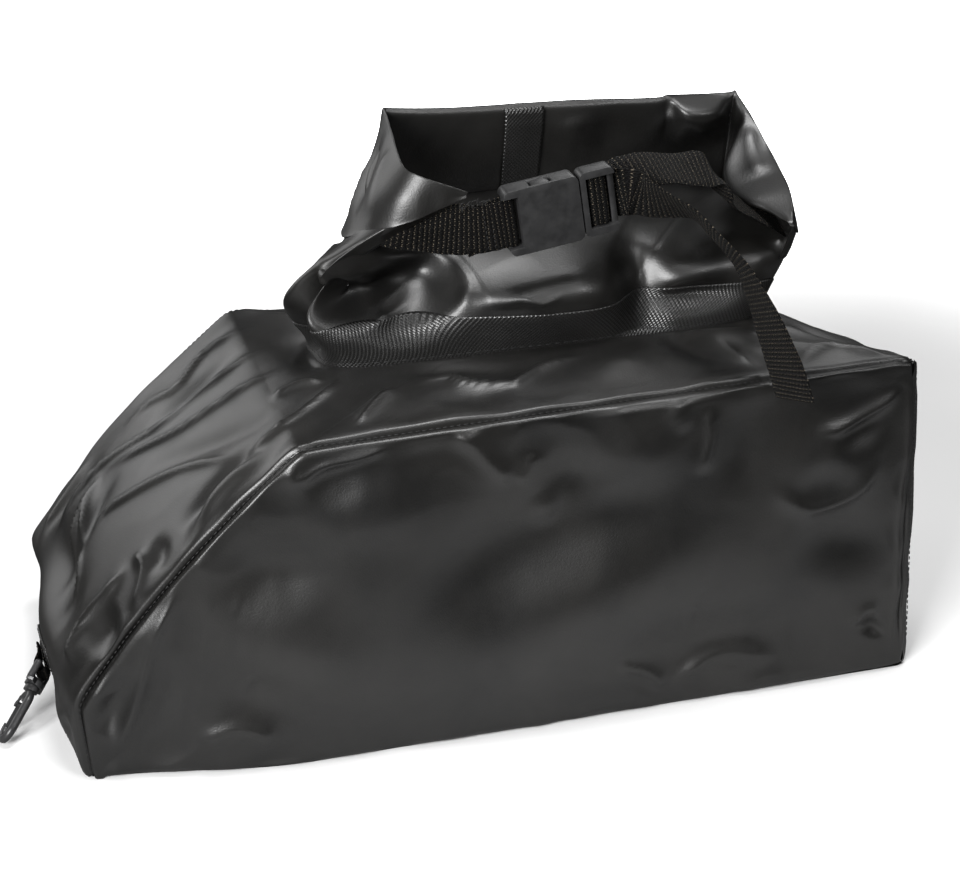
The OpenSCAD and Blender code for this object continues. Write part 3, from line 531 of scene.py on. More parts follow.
NEAR_FOLDS = [
    # puckers below the top seam
    (4.0, 5, RIDGE, (-136, -112, 200), (-128, -114, 191), (-114, -115, 198), (-97, -115, 200),
     (-74, -114, 204)),
    (-3.0, 13, SOFT, (-132, -114, 184), (-111, -116, 186), (-88, -115, 192)),
    (4.2, 7, RIDGE, (-42, -114, 208), (-30, -115, 200), (-16, -116, 184), (-2, -117, 170)),
    (3.2, 5, RIDGE, (-2, -117, 169), (4, -116, 178), (8, -116, 190)),
    (-4.2, 14, SOFT, (12, -116, 186), (31, -117, 172), (52, -117, 158)),
    (2.8, 9, SOFT, (8, -117, 160), (17, -118, 151), (28, -118, 146)),
    (2.8, 7, SOFT, (86, -114, 209), (94, -115, 200), (99, -115, 188)),
    (-4.2, 13, SOFT, (134, -114, 206), (136, -115, 186), (134, -116, 162), (128, -117, 140)),
    (3.6, 7, RIDGE, (112, -114, 206), (114, -116, 184), (108, -117, 160)),
    (4.2, 7, RIDGE, (152, -116, 148), (168, -116, 134), (184, -116, 127), (208, -115, 134), (226, -114, 156)),
    (-3.0, 12, SOFT, (170, -116, 152), (190, -116, 146), (208, -115, 154)),
    (4.4, 6, RIDGE, (178, -115, 180), (196, -115, 179), (219, -114, 188), (238, -114, 199)),
    (-3.2, 8, SOFT, (190, -115, 168), (212, -115, 174), (234, -114, 184)),
    # the broad swell over the lower half
    (8.5, 36, SOFT, (-100, -117, 30), (-20, -118, 58), (50, -118, 88), (110, -117, 104), (180, -116, 84)),
    (-9.0, 30, SOFT, (-90, -117, 100), (-20, -118, 126), (50, -118, 142), (110, -117, 158)),
    (-8.0, 24, SOFT, (50, -117, 20), (110, -116, 44), (170, -115, 40), (220, -115, 24)),
    (6.5, 26, SOFT, (-206, -101, 110), (-175, -110, 106), (-129, -116, 78), (-56, -118, 46)),
    (-6.0, 20, SOFT, (-196, -106, 76), (-150, -113, 50), (-110, -116, 22)),
    (5.6, 22, SOFT, (-130, -115, 150), (-90, -117, 168), (-40, -117, 160)),
    (-6.0, 20, SOFT, (-180, -108, 140), (-150, -113, 132), (-104, -116, 128)),
    (5.0, 20, SOFT, (30, -117, 172), (70, -117, 180), (112, -116, 174)),
    (6.5, 22, SOFT, (150, -116, 160), (200, -115, 156), (236, -114, 128)),
    (-7.0, 20, SOFT, (170, -116, 116), (214, -115, 98), (244, -114, 84)),
    # the corner seam lies on the near face, a finger's width in from the end
    (-3.6, 2.4, RIDGE, (247, -115, 214), (249, -115, 170), (247, -115, 120), (250, -115, 60), (252, -115, 4)),
    (2.0, 3.0, RIDGE, (241, -115, 206), (243, -115, 160), (241, -115, 120), (244, -115, 70), (246, -115, 6)),
    # small marks, the dent low at the right and the crests along the base
    (1.5, 4, RIDGE, (-153, -114, 82), (-160, -113, 66), (-167, -112, 50)),
    (-4.6, 8, SOFT, (238, -114, 38), (232, -114, 33), (228, -115, 26)),
    (2.6, 6, RIDGE, (216, -115, 36), (224, -115, 48), (236, -114, 46)),
    (3.8, 7, RIDGE, (96, -115, 16), (110, -115, 24), (124, -115, 31), (142, -115, 31), (170, -115, 22)),
    (3.4, 7, RIDGE, (60, -116, 38), (84, -116, 26), (96, -115, 14)),
    (3.0, 9, RIDGE, (-196, -107, 26), (-170, -111, 32), (-144, -114, 20)),
    (-3.0, 9, SOFT, (-176, -111, 8), (-150, -113, 6), (-124, -115, 10)),
    # the crest and the hollow beside the nose seam
    (4.4, 7, RIDGE, (-196, -105, 128), (-211, -103, 99), (-219, -102, 75), (-229, -100, 44), (-243, -98, 14)),
    (-4.5, 9, SOFT, (-226, -99, 78), (-236, -98, 58), (-242, -97, 40), (-248, -96, 22)),
    (-3.6, 9, SOFT, (-202, -104, 90), (-210, -103, 60), (-220, -102, 28)),
]
END_FOLDS = [
    (4.0, 12, RIDGE, (248, -96, 196), (253, -60, 150), (257, -10, 96)),
    (-4.0, 14, SOFT, (250, -60, 186), (255, -20, 140), (258, 30, 90)),
    (3.6, 12, RIDGE, (250, 90, 140), (255, 60, 100), (258, 10, 60)),
    (-3.2, 13, SOFT, (256, -80, 60), (259, -40, 40), (259, 20, 30)),
    (3.0, 10, RIDGE, (254, 40, 150), (256, 50, 110), (258, 80, 60)),
]
FAR_FOLDS = [
    (5.0, 14, RIDGE, (232, 108, 146), (180, 114, 130), (120, 118, 128), (60, 118, 140)),
    (-5.0, 16, SOFT, (200, 112, 150), (140, 116, 150), (90, 117, 160)),
    (4.6, 12, RIDGE, (30, 112, 182), (20, 116, 150), (40, 119, 120), (90, 120, 90)),
    (-4.4, 14, SOFT, (-30, 112, 186), (-26, 116, 156), (-6, 119, 120)),
    (4.2, 12, RIDGE, (-96, 108, 190), (-100, 113, 160), (-80, 118, 120)),
    (3.8, 16, RIDGE, (-200, 112, 90), (-150, 117, 84), (-90, 120, 70), (-30, 120, 40)),
    (-3.8, 14, SOFT, (-180, 112, 120), (-150, 116, 110), (-110, 118, 100)),
    (3.4, 14, RIDGE, (100, 119, 50), (160, 118, 64), (220, 116, 50)),
]


# Folds have their full height this far from a seam, and puckers end this far from it
SEAM_HOLD, PUCKER_REACH = 7, 42.0
# The lowest that fabric lies above the floor
GROUND = 0.2


def fold_in(sheet, folds, amount, seed, stretch, seams):
    """Presses folds and buckles into a panel, and holds it still at its seams."""
    P = sheet.flat()
    hold = ease(off_lines(P, seams) / SEAM_HOLD)
    before = P.copy()
    N = sheet.normals().reshape(-1, 3)
    press(P, N, folds)
    crumple(P, N, amount, 46, seed, stretch)
    # Puckers beside the seams, then slow swells over the whole panel
    beside = np.clip(1 - off_lines(P, seams) / PUCKER_REACH, 0, 1)
    P += N * (beside * 1.7 * (1 - 2.0 * np.abs(noise_at(P, 30, seed + 3))))[:, None]
    P += N * (3.4 * noise_at(P, 120, seed + 5) + 1.3 * noise_at(P, 58, seed + 9))[:, None]
    P[:] = before + (P - before) * hold[:, None]
    seam_lip(P, N, seams, 1.7)
    sheet.P = P.reshape(sheet.P.shape)
    sheet.P[..., 2] = np.maximum(sheet.P[..., 2], GROUND)


# ---- body panels
SEAM_LINE = {side: seam(side, np.arange(0, LOOP_C, 0.5)) for side in (NEAR, FAR)}
END_EDGE = lerp(seam(NEAR, END_C), seam(FAR, END_C), np.linspace(0, 1, 9)[:, None])


def side_panel(side, folds, name, node, cols, rows):
    """A panel spanned between the four stretches of its seam, bellied outwards."""
    u, v = graded(cols, BASE_L), graded(rows, BODY_H)
    foot = seam(side, LOOP_C - (LOOP_C - HEEL_C) * u - 1e-6)
    head = seam(side, NOSE_C + (END_C - NOSE_C) * u)
    left, right = seam(side, NOSE_C * v), seam(side, HEEL_C - (HEEL_C - END_C) * v)
    U, V = u[None, :, None], v[:, None, None]
    P = (1 - V) * foot[None] + V * head[None] + (1 - U) * left[:, None] + U * right[:, None]
    P = P - ((1 - U) * (1 - V) * foot[0] + U * (1 - V) * foot[-1] + (1 - U) * V * head[0] + U * V * head[-1])
    P[..., 1] += side * 7 * (np.sin(np.pi * u)[None] ** 0.5 * np.sin(np.pi * v)[:, None] ** 0.6)
    sheet = Sheet(P if side == NEAR else P[:, ::-1])
    fold_in(sheet, folds, 0.9, 3.0 + side, (0.8, 1, 1.2), [SEAM_LINE[side]])
    build(name, sheet.mesh(), TARP, "bag", [node])


# How far the nose bellies out, what share of that its foot has, and the place of the fullest part
NOSE_BELLY, FOOT_SHARE, CREST_C = 13, 0.45, 9


def fullness(v):
    """0 at both sides of a strip, and close to 1 over its middle."""
    return np.sin(np.pi * np.clip(v, 0, 1)) ** 0.6


def nose_share(c):
    """The share of the belly that the nose has at seam place c."""
    rising = lerp(FOOT_SHARE, 1, ease(c / CREST_C))
    falling = np.sin(np.pi / 2 * np.clip((SLOPE_C - c) / (SLOPE_C - CREST_C), 0, 1))
    return np.where(c < CREST_C, rising, falling)


def out_dir(c):
    """The direction out of the nose and the slope at seam place c."""
    d = seam(NEAR, c + 0.4) - seam(NEAR, np.maximum(c - 0.4, 0))
    return unit(np.stack([-d[..., 2], 0 * d[..., 0], d[..., 0]], -1))


# Cells across the slope, points along each seam, and rows from the top panel's edge to the neck
CROSS, ALONG, RING_ROWS = 100, 150, 46
# Places round the top panel where the near seam, the end, the far seam and the slope's edge end
NEAR_K, END_K, FAR_K, RING_K = 16, 26, 42, 52
ACROSS = graded(CROSS + 1, 2 * HALF_W)


def ring_edge(k):
    """The outer edge of the top panel at ring place k."""
    k = np.asarray(k, float) % RING_K
    over_end = np.clip((k - NEAR_K) / (END_K - NEAR_K), 0, 1)[:, None]
    over_slope = np.clip((k - FAR_K) / (RING_K - FAR_K), 0, 1)[:, None]
    near = seam(NEAR, SLOPE_C + np.minimum(k, NEAR_K))
    end = lerp(seam(NEAR, END_C), seam(FAR, END_C), over_end)
    far = seam(FAR, END_C - np.clip(k - END_K, 0, END_C - SLOPE_C))
    slope = lerp(seam(FAR, SLOPE_C), seam(NEAR, SLOPE_C), over_slope)
    k = k[:, None]
    return np.where(k < NEAR_K, near, np.where(k < END_K, end, np.where(k < FAR_K, far, slope)))


def neck_base(k):
    """The neck's foot, a rounded oblong, in the direction of the top panel's edge at ring place k."""
    e = ring_edge(k)
    u = unit(np.stack([(e[:, 0] - NECK_X) / NECK_A, (e[:, 1] - NECK_Y) / NECK_B], -1))
    f = (np.abs(u[:, 0]) ** 5 + np.abs(u[:, 1]) ** 5) ** -0.2
    x = NECK_X + NECK_A * f * u[:, 0]
    y = NECK_Y + NECK_B * f * u[:, 1]
    return np.stack([x, y, NECK_Z - NECK_FALL * (y - (NECK_Y - NECK_B))], -1)


def top_and_nose():
    """The strip up the nose and the slope runs on into the top panel as one piece of fabric."""
    k = np.concatenate([
        np.linspace(0, NEAR_K, ALONG, endpoint=False),
        NEAR_K + (END_K - NEAR_K) * ACROSS[:-1],
        END_K + np.linspace(0, FAR_K - END_K, ALONG, endpoint=False),
        FAR_K + (RING_K - FAR_K) * ACROSS[:-1],
    ])
    t = graded(RING_ROWS, 90)[:, None, None]
    ring = lerp(ring_edge(k)[None], neck_base(k)[None], t) + np.array([0, 0, 3.0]) * np.sin(np.pi * t)
    ring = Sheet(ring, closed=True)
    c = np.linspace(0, SLOPE_C, ALONG)
    nose = lerp(seam(NEAR, c)[:, None], seam(FAR, c)[:, None], ACROSS[None, :, None])
    belly = NOSE_BELLY * nose_share(c)[:, None] * fullness(ACROSS)[None]
    nose = nose + out_dir(c)[:, None] * belly[..., None]
    ring_points = RING_ROWS * len(k)
    V = np.vstack([ring.flat(), nose[:-1].reshape(-1, 3)])
    # The nose's last row is the ring's outer edge over the slope, which runs the other way
    own = ring_points + np.arange((ALONG - 1) * (CROSS + 1)).reshape(ALONG - 1, CROSS + 1)
    shared = (2 * ALONG + 2 * CROSS - np.arange(CROSS + 1)) % len(k)
    F = np.vstack([ring.quads()[:, ::-1], grid_quads(np.vstack([own, shared]))])
    inner = np.repeat(np.linspace(1, 0, RING_ROWS) > 0.3, len(k))
    return round_bend(V, F, inner), F, ring_points


def round_bend(V, F, free):
    """Rounds off the bend between the slope and the top."""
    edge_x = seam(NEAR, SLOPE_C)[0]
    for _ in range(10):
        total, count = np.zeros_like(V), np.zeros(len(V))
        for a, b in ((0, 1), (1, 2), (2, 3), (3, 0)):
            np.add.at(total, F[:, a], V[F[:, b]])
            np.add.at(total, F[:, b], V[F[:, a]])
            np.add.at(count, F[:, a], 1)
            np.add.at(count, F[:, b], 1)
        w = np.exp(-(((V[:, 0] - edge_x) / 16) ** 2)) * ease((HALF_W - 8 - np.abs(V[:, 1])) / 14)
        w[: len(free)] *= free
        V = V + (total / count[:, None] - V) * (0.5 * w)[:, None]
    return V


def vertex_normals(V, F):
    n = np.cross(V[F[:, 2]] - V[F[:, 0]], V[F[:, 3]] - V[F[:, 1]])
    out = np.zeros_like(V)
    for k in range(4):
        np.add.at(out, F[:, k], n)
    return unit(out)


def top_piece():
    V, F, ring_points = top_and_nose()
    N = vertex_normals(V, F)
    if N[:ring_points, 2].mean() < 0:
        F, N = F[:, ::-1], -N
    seams = [SEAM_LINE[NEAR], SEAM_LINE[FAR], END_EDGE]
    neck_line = neck_base(np.arange(0, RING_K + 0.5, 0.5))
    hold = np.prod([ease(near_line(V, line)[0] / SEAM_HOLD) for line in seams], axis=0)
    hold *= ease(near_line(V, neck_line)[0] / 6)
    rest = V.copy()
    press(V, N, SLOPE_FOLDS + TOP_FOLDS)
    push(V, NOSE_PUSHES)
    crumple(V, N, 0.7, 44, 11.0, (0.6, 1.2, 0.6))
    V += N * (1.6 * noise_at(V, 120, 15.0))[:, None]
    V = rest + (V - rest) * hold[:, None]
    seam_lip(V, N, seams, 1.6)
    V[:, 2] = np.maximum(V[:, 2], GROUND)
    build("nose_and_top_fabric", (V, F.tolist()), TARP, "bag", ["nose_panel", "top_panel"])
    return V


def end_panel():
    c = END_C + (HEEL_C - END_C) * graded(90, BODY_H)
    v = graded(100, 2 * HALF_W)
    P = lerp(seam(NEAR, c)[:, None], seam(FAR, c)[:, None], v[None, :, None])
    belly = 6 * np.sin(np.pi * (c - END_C) / (HEEL_C - END_C))[:, None] * fullness(v)[None]
    sheet = facing(P + np.array([1.0, 0, 0.05]) * belly[..., None], 0, 1)
    fold_in(sheet, END_FOLDS, 1.0, 21.0, (1, 1, 1), [SEAM_LINE[NEAR], SEAM_LINE[FAR], END_EDGE])
    build("end_fabric", sheet.mesh(), TARP, "bag", ["end_panel"])


def bottom_panel():
    c = np.linspace(HEEL_C, LOOP_C - 0.001, 110)
    v = np.linspace(0, 1, 50)
    P = lerp(seam(NEAR, c)[:, None], seam(FAR, c)[:, None], v[None, :, None])
    belly = NOSE_BELLY * FOOT_SHARE * ((c - HEEL_C) / (LOOP_C - HEEL_C)) ** 6
    sheet = facing(P + np.array([-1.0, 0, 0]) * (belly[:, None] * fullness(v)[None])[..., None], 2, -1)
    flat = sheet.flat()
    inside = ease((HALF_W - 12 - np.abs(flat[:, 1])) / 20)
    flat[:, 2] = np.maximum(flat[:, 2] + inside * 0.5 * (1 + noise_at(flat, 60, 5.0)), 0.1)
    build("bottom_fabric", sheet.mesh(), TARP, "bag", ["bottom_panel"])


def seam_tapes():
    """The angle of tape inside each long seam; it shows nowhere."""
    flange, inset = 4, 2.4
    for side, name in ((NEAR, "near"), (FAR, "far")):
        line = seam(side, np.arange(0.4, 37.6, 0.2))
        into = -np.cross(unit(np.gradient(line, axis=0)), [0, 1, 0])
        across = np.array([0, -side, 0])
        corner = line + inset * (into + across)
        sheet = Sheet(np.stack([corner + flange * into, corner, corner + flange * across], 1))
        uv = np.stack([np.repeat(run_along(line), 3), np.tile([-flange, 0, flange], len(line))], 1)
        node = f"seam_tape_{name}"
        build(f"{name}_seam_tape", sheet.mesh(), TAPE, "bag", [node], uv, thick=0.4)


side_panel(NEAR, NEAR_FOLDS, "near_side_fabric", "side_panel_near", 280, 124)
side_panel(FAR, FAR_FOLDS, "far_side_fabric", "side_panel_far", 150, 64)
TOP_POINTS = top_piece()
end_panel()
bottom_panel()
seam_tapes()


# ---- closure: the rolled top, bent into a C
# Stations from the left tip round the back to the right tip:
# (s, top edge, bottom edge, outward bulge, inner depth low, middle, top)
CLOSURE = [
    (-1.00, (-12, -47, 323), (-13, -48, 320), 0, 1.5, 1.5, 1),
    (-0.96, (-28, -47, 330), (-30, -49, 315), 1, 4, 3, 2),
    (-0.91, (-39, -43, 334), (-44, -49, 310), 2, 6, 4, 2),
    (-0.85, (-45, -34, 336), (-58, -44, 305), 3, 8, 4, 2),
    (-0.74, (-45, -17, 340), (-70, -30, 298), 3, 9, 4, 2),
    (-0.60, (-42, 8, 343), (-75, -6, 287), 2, 9, 4, 2),
    (-0.46, (-39, 30, 344), (-66, 30, 279), 1, 9, 4, 2),
    (-0.37, (-38, 42, 345), (-49, 52, 277), 1, 9, 4, 2),
    (-0.34, (-37, 45, 345), (-45, 56, 277), 1, 9, 5, 2.5),
    (-0.31, (-30, 45, 344), (-36, 57, 277), 1, 9, 6, 3.5),
    (-0.18, (6, 46, 341), (6, 61, 279), 3, 9, 7, 4.5),
    (0.00, (78, 46, 339), (76, 62, 280), 3, 9, 7, 5),
    (0.12, (132, 45, 336), (136, 62, 277), 3, 9, 6, 4),
    (0.155, (142, 45, 337), (146, 62, 275), 3, 9, 6, 4),
    (0.20, (152, 46, 336), (158, 61, 273), 2, 9, 5, 15),
    (0.25, (170, 46, 335), (173, 60, 272), 2, 9, 4, 15),
    (0.30, (184, 45, 335), (184, 59, 271), 1, 9, 4, 4),
    (0.32, (187, 45, 336), (188, 58, 270), 1, 9, 4, 3),
    (0.34, (188, 42, 333), (191, 54, 270), 1, 9, 4, 4),
    (0.42, (192, 31, 324), (202, 40, 266), 1, 8, 4, 9),
    (0.58, (195, 12, 311), (206, 12, 264), 1, 7, 3, 29),
    (0.74, (195, -8, 303), (206, -10, 264), 1, 7, 3, 31),
    (0.88, (194, -30, 295), (201, -30, 269), 1, 6, 3, 22),
    (1.00, (189, -47, 284), (190, -48, 281), 0, 2, 2, 2),
]


def closure_table():
    """The stations' values at even places along a smooth curve through them."""
    rows = np.array([[s, *upper, *lower, *depths] for s, upper, lower, *depths in CLOSURE], float)
    fine = smooth_path(rows, 1200)
    fine = fine[np.argsort(fine[:, 0])]
    places = np.linspace(-1, 1, 600)
    return places, read_rows(places, fine[:, 0], fine)


CLOSURE_PLACES, CLOSURE_ROWS = closure_table()


def closure_at(s):
    """Top edge, bottom edge, outward direction and depths of the closure at each s."""
    s = np.clip(np.asarray(s, float), -1, 1)
    table = read_rows(s, CLOSURE_PLACES, CLOSURE_ROWS)
    T, B = table[..., 1:4], table[..., 4:7]
    middle = (CLOSURE_ROWS[:, 1:4] + CLOSURE_ROWS[:, 4:7]) / 2
    behind, ahead = (read_rows(np.clip(s + e, -1, 1), CLOSURE_PLACES, middle) for e in (-0.03, 0.03))
    return T, B, unit(np.cross(T - B + np.array([0, 0, 4.0]), ahead - behind)), table[..., 7:]


def closure_grid(n, m):
    """Rings of m points round the closure's section, at n stations, closer at its left tip."""
    s = np.concatenate([np.linspace(-1, -0.8, n // 5, endpoint=False), np.linspace(-0.8, 1, n - n // 5)])
    T, B, out, depths = closure_at(s)
    down = B - T
    bulge, low, mid, top = depths.T[..., None]
    # 1 where the top edge reaches far inward, like a hood
    hood = np.clip((top - 6) / 5, 0, 1)
    guide = [
        T + out * 0.4,
        T + down * 0.04 + out * 0.9,
        T + down * 0.5 + out * bulge,
        T + down * 0.95 + out * 0.6,
        B,
        T + down * 0.96 - out * low * 0.7,
        T + down * 0.86 - out * low,
        T + down * 0.52 - out * mid,
        T + down * lerp(0.3, 0.22, hood) - out * lerp(0.35 * mid + 0.65 * top, 0.9 * top, hood),
        T + down * lerp(0.18, 0.12, hood) - out * top,
        T + down * 0.05 - out * lerp(0.6 + 0.5 * top, 0.8 * top, hood),
        T - out * 0.5 + down * 0.004,
    ]
    G = np.stack(guide, 1)
    k = np.linspace(0, len(guide), m, endpoint=False)
    around = [G[:, (k.astype(int) + step) % len(guide)] for step in (-1, 0, 1, 2)]
    return catmull_rom(*around, (k % 1)[None, :, None])


CLOSURE_FOLDS = [
    (-5.0, 8, SOFT, (-40, 30, 336), (-50, 12, 322), (-60, -4, 308), (-68, -16, 296)),
    (2.2, 5, RIDGE, (-48, 34, 318), (-58, 20, 304), (-68, 6, 292)),
    (2.5, 7, RIDGE, (-44, -6, 338), (-54, -18, 322), (-62, -32, 306)),
    (-2.2, 6, SOFT, (-42, -28, 328), (-36, -42, 322), (-24, -47, 320)),
    (-1.6, 10, SOFT, (-30, 40, 320), (-10, 42, 300)),
    (2.4, 14, SOFT, (60, 38, 330), (84, 38, 318), (110, 39, 300)),
    (-2.4, 12, SOFT, (96, 40, 332), (118, 40, 300)),
    (2.0, 8, RIDGE, (80, 42, 332), (84, 38, 312), (80, 38, 296)),
    (2.4, 8, RIDGE, (146, 44, 330), (132, 42, 308), (128, 42, 290)),
    (2.0, 6, RIDGE, (160, 36, 326), (166, 38, 304)),
    (2.4, 6, RIDGE, (190, 30, 318), (186, 8, 304), (184, -10, 298)),
]


def closure_piece():
    sheet = Sheet(closure_grid(300, 84), closed=True)
    N = outward(sheet, sheet.P.mean(1, keepdims=True)).reshape(-1, 3)
    press(sheet.flat(), N, CLOSURE_FOLDS)
    crumple(sheet.flat(), N, 0.55, 34, 4.0)
    shape = sheet.mesh(caps=True)
    build("rolled_closure_fabric", shape, TARP, "closure", ["rolled_closure"], sharp=55)


def inner_face(x, share):
    """Points on the inner face of the closure's back at bag places x, a share of the way down."""
    s = np.linspace(-0.3, 0.3, 400)
    T, B, out, depths = closure_at(s)
    i = np.array([np.argmin(np.abs(T[:, 0] - place)) for place in x])
    low, mid, top = depths[len(s) // 2, 1:]
    shares = [0, 0.05, 0.18, 0.3, 0.52, 0.86]
    depth = np.interp(share, shares, [0.5, 0.6 + 0.5 * top, top, 0.35 * mid + 0.65 * top, mid, low])
    return T[i] + (B - T)[i] * share - out[i] * (depth + 1.1)


def back_tape():
    left, right, height = 37, 62, 60
    x = np.linspace(left, right, 14)
    share = np.linspace(0.015, 0.93, 50)
    P = np.stack([inner_face(x, h) for h in share])
    # The tape stands a little proud along its middle
    P += np.array([0, -1, 0]) * (0.5 * np.exp(-(((x - 49) / 9) ** 2)))[None, :, None]
    uv = np.stack(np.meshgrid(x - left, share * height), -1).reshape(-1, 2)
    shape = Sheet(P).mesh()
    build("back_seam_tape", shape, TAPE, "closure", ["neck_back_tape"], uv, thick=0.9)


def stiffener():
    """The strip rolled up inside the closure; it shows nowhere."""
    T, B, out, _ = closure_at(np.linspace(-0.3, 0.8, 90))
    P = np.stack([T + (B - T) * h - out * 1.2 for h in (0.62, 0.7, 0.8, 0.9)])
    strip = build("stiffener", Sheet(P).mesh(), STRIP, "closure", ["stiffener_strip"], thick=0.8)
    strip.modifiers["thickness"].offset = 0


closure_piece()
back_tape()
stiffener()

# ---- neck
# Points round the neck and up it, rows of its tape, the tape's height, and how deep the neck's foot dips
NECK_COLS, NECK_ROWS, TAPE_ROWS, TAPE_H, SUNK = 340, 110, 26, 25, 5
# The neck's left end on the ring, the steps from there to its right end, and the stitched row of the tape
LEFT_K, HALF_RING, STITCH_ROW = 47, 26, 3
# How far the left end swells outwards, and the front forwards
EAR_OUT, FRONT_BELLY = 36, 9
NECK_MIDDLE = np.array([45.0, 5, 240])


def neck_surface(step, h):
    """Points of the neck at ring step (0 to 52 from its left end round the front) and height share h."""
    step, h = np.meshgrid(step, h)
    front = step < HALF_RING
    s = np.where(front, -1 + step / (HALF_RING / 2), 3 - step / (HALF_RING / 2))
    base = neck_base((step.ravel() + LEFT_K) % RING_K).reshape(*step.shape, 3)
    T, B, out, depths = closure_at(s)
    inner = B - out * (depths[..., 1] * 0.6 * (1 - np.abs(s) ** 8))[..., None] + (T - B) * 0.1
    outer = B + out * 0.2 + (T - B) * 0.06
    top = np.where(front[..., None], inner, outer)
    lead = np.where(front, 1 - s**2, 0)
    run = lerp(h, (1 - (1 - h) ** 0.5) ** 2.4, lead)
    P = base + (top - base) * np.stack([run, run, h], -1)
    left = ease((-s - 0.42) / 0.45)
    P[..., 0] -= EAR_OUT * left * np.sin(np.pi * h) ** np.where(h < 0.5, 1.6, 1.0)
    P[..., 1] -= FRONT_BELLY * lead * np.sin(np.pi * h)
    return P


NECK_PUSHES = [
    ((-100, -44, 262), (12, 16, 11), (26, 20, 0)),
    ((-84, -42, 256), (16, 16, 12), (8, 22, 0)),
    ((-50, -34, 256), (24, 26, 16), (0, 34, 0)),
    ((-28, -30, 262), (16, 24, 15), (0, 20, 0)),
    ((30, -42, 250), (46, 24, 13), (-2, -7, 2)),
    ((20, -42, 284), (50, 20, 9), (0, 7, 0)),
    ((66, -42, 262), (20, 18, 22), (0, -5, 0)),
    ((100, -38, 250), (14, 24, 26), (2, 13, -3)),
    ((140, -36, 258), (22, 18, 15), (0, -8, 4)),
    ((172, -32, 262), (14, 20, 18), (2, -8, 2)),
    ((128, -44, 238), (26, 16, 7), (0, 9, 0)),
    ((198, -12, 246), (10, 26, 20), (8, -2, 0)),
    ((190, 20, 250), (10, 16, 16), (-6, 0, 0)),
]
NECK_FOLDS = [
    (4.5, 5, RIDGE, (-66, 6, 280), (-86, -14, 276), (-92, -30, 274), (-90, -38, 264)),
    (4.5, 5, RIDGE, (-116, -44, 256), (-107, -45, 251), (-97, -45, 246), (-84, -44, 241), (-70, -42, 238)),
    (-4.0, 5, SOFT, (-110, -42, 246), (-98, -42, 240), (-84, -41, 234)),
    (4.0, 5, RIDGE, (-12, -12, 270), (-8, -30, 262), (-12, -38, 252), (-26, -40, 244), (-48, -40, 238)),
    (3.2, 5, RIDGE, (-38, -4, 262), (-37, -14, 254), (-46, -22, 246), (-60, -30, 241), (-74, -38, 243)),
    (2.8, 5, RIDGE, (-60, -8, 266), (-63, -20, 254), (-57, -32, 241)),
    (2.6, 8, RIDGE, (-14, -40, 275), (14, -44, 276), (44, -44, 275), (70, -42, 270)),
    (-2.6, 5, SOFT, (-20, -44, 247), (10, -48, 247), (42, -48, 247), (74, -46, 246)),
    (1.8, 4, RIDGE, (0, -50, 253), (10, -50, 250), (20, -50, 254), (32, -50, 250), (46, -50, 253)),
    (-3.0, 8, SOFT, (78, -36, 268), (92, -42, 252), (106, -44, 236), (116, -44, 222)),
    (3.2, 5, RIDGE, (112, -24, 270), (112, -38, 258), (124, -44, 247), (144, -46, 241), (166, -46, 239)),
    (-3.6, 4, SOFT, (112, -42, 247), (128, -46, 239), (150, -47, 234)),
    (2.4, 7, RIDGE, (154, -36, 268), (150, -44, 256), (154, -46, 246)),
    (2.4, 6, RIDGE, (186, -28, 272), (194, -24, 258), (198, -14, 246)),
    (3.0, 10, RIDGE, (-60, 50, 262), (-50, 54, 240), (-52, 52, 222)),
    (-3.4, 10, SOFT, (-20, 56, 270), (-14, 56, 244), (-20, 52, 216)),
    (3.4, 10, RIDGE, (40, 58, 270), (50, 57, 240), (44, 52, 214)),
    (-3.0, 12, SOFT, (96, 58, 270), (104, 56, 240), (98, 52, 212)),
    (3.4, 10, RIDGE, (150, 56, 262), (146, 54, 238), (156, 50, 214)),
    (-3.0, 8, SOFT, (202, 30, 262), (196, 24, 240), (188, 22, 220)),
]


def neck_piece():
    t = np.linspace(0, 1, NECK_ROWS)
    h = np.concatenate([[0], lerp(0.001, 1, 0.45 * t + 0.55 * (1 - (1 - t) ** 2.6))])
    sheet = Sheet(neck_surface(np.linspace(0, RING_K, NECK_COLS, endpoint=False), h), closed=True)
    sheet.P[0, :, 2] -= SUNK
    flat, rest = sheet.flat(), sheet.P.copy()
    push(flat, NECK_PUSHES)
    N = outward(sheet, NECK_MIDDLE).reshape(-1, 3)
    press(flat, N, NECK_FOLDS)
    crumple(flat, N, 0.9, 38, 9.0, (1, 1, 0.7))
    hold = ease(h / 0.07) * (1 - ease((h - 0.93) / 0.07))
    sheet.P = rest + (sheet.P - rest) * hold[:, None, None]
    wall = build("neck_fabric", sheet.mesh(), TARP, replaces=["neck_wall"])
    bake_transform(wall)
    return sheet


def neck_tape(neck):
    """The broad welded tape over the neck's lowest part."""
    P, N = neck.P[1:], outward(neck, NECK_MIDDLE)[1:]
    share = np.linspace(0, 1, TAPE_ROWS)
    tape = np.empty((TAPE_ROWS, NECK_COLS, 3))
    for j in range(NECK_COLS):
        heights = np.maximum.accumulate(P[:, j, 2])
        tape[:, j] = read_rows(P[0, j, 2] + share * TAPE_H, heights, P[:, j] + 0.9 * N[:, j])
    tape = np.concatenate([tape[:1] - [0, 0, 1.5], tape])
    uv = np.stack(np.meshgrid(run_along(tape[5]), np.r_[-0.05, share] * TAPE_H), -1).reshape(-1, 2)
    shape = Sheet(tape, closed=True).mesh()
    build("neck_base_tape_band", shape, TAPE, "bag", ["neck_base_tape"], uv, thick=1.2)
    return np.vstack([tape[STITCH_ROW], tape[STITCH_ROW][:1]])


NECK_STITCHING = neck_tape(neck_piece())

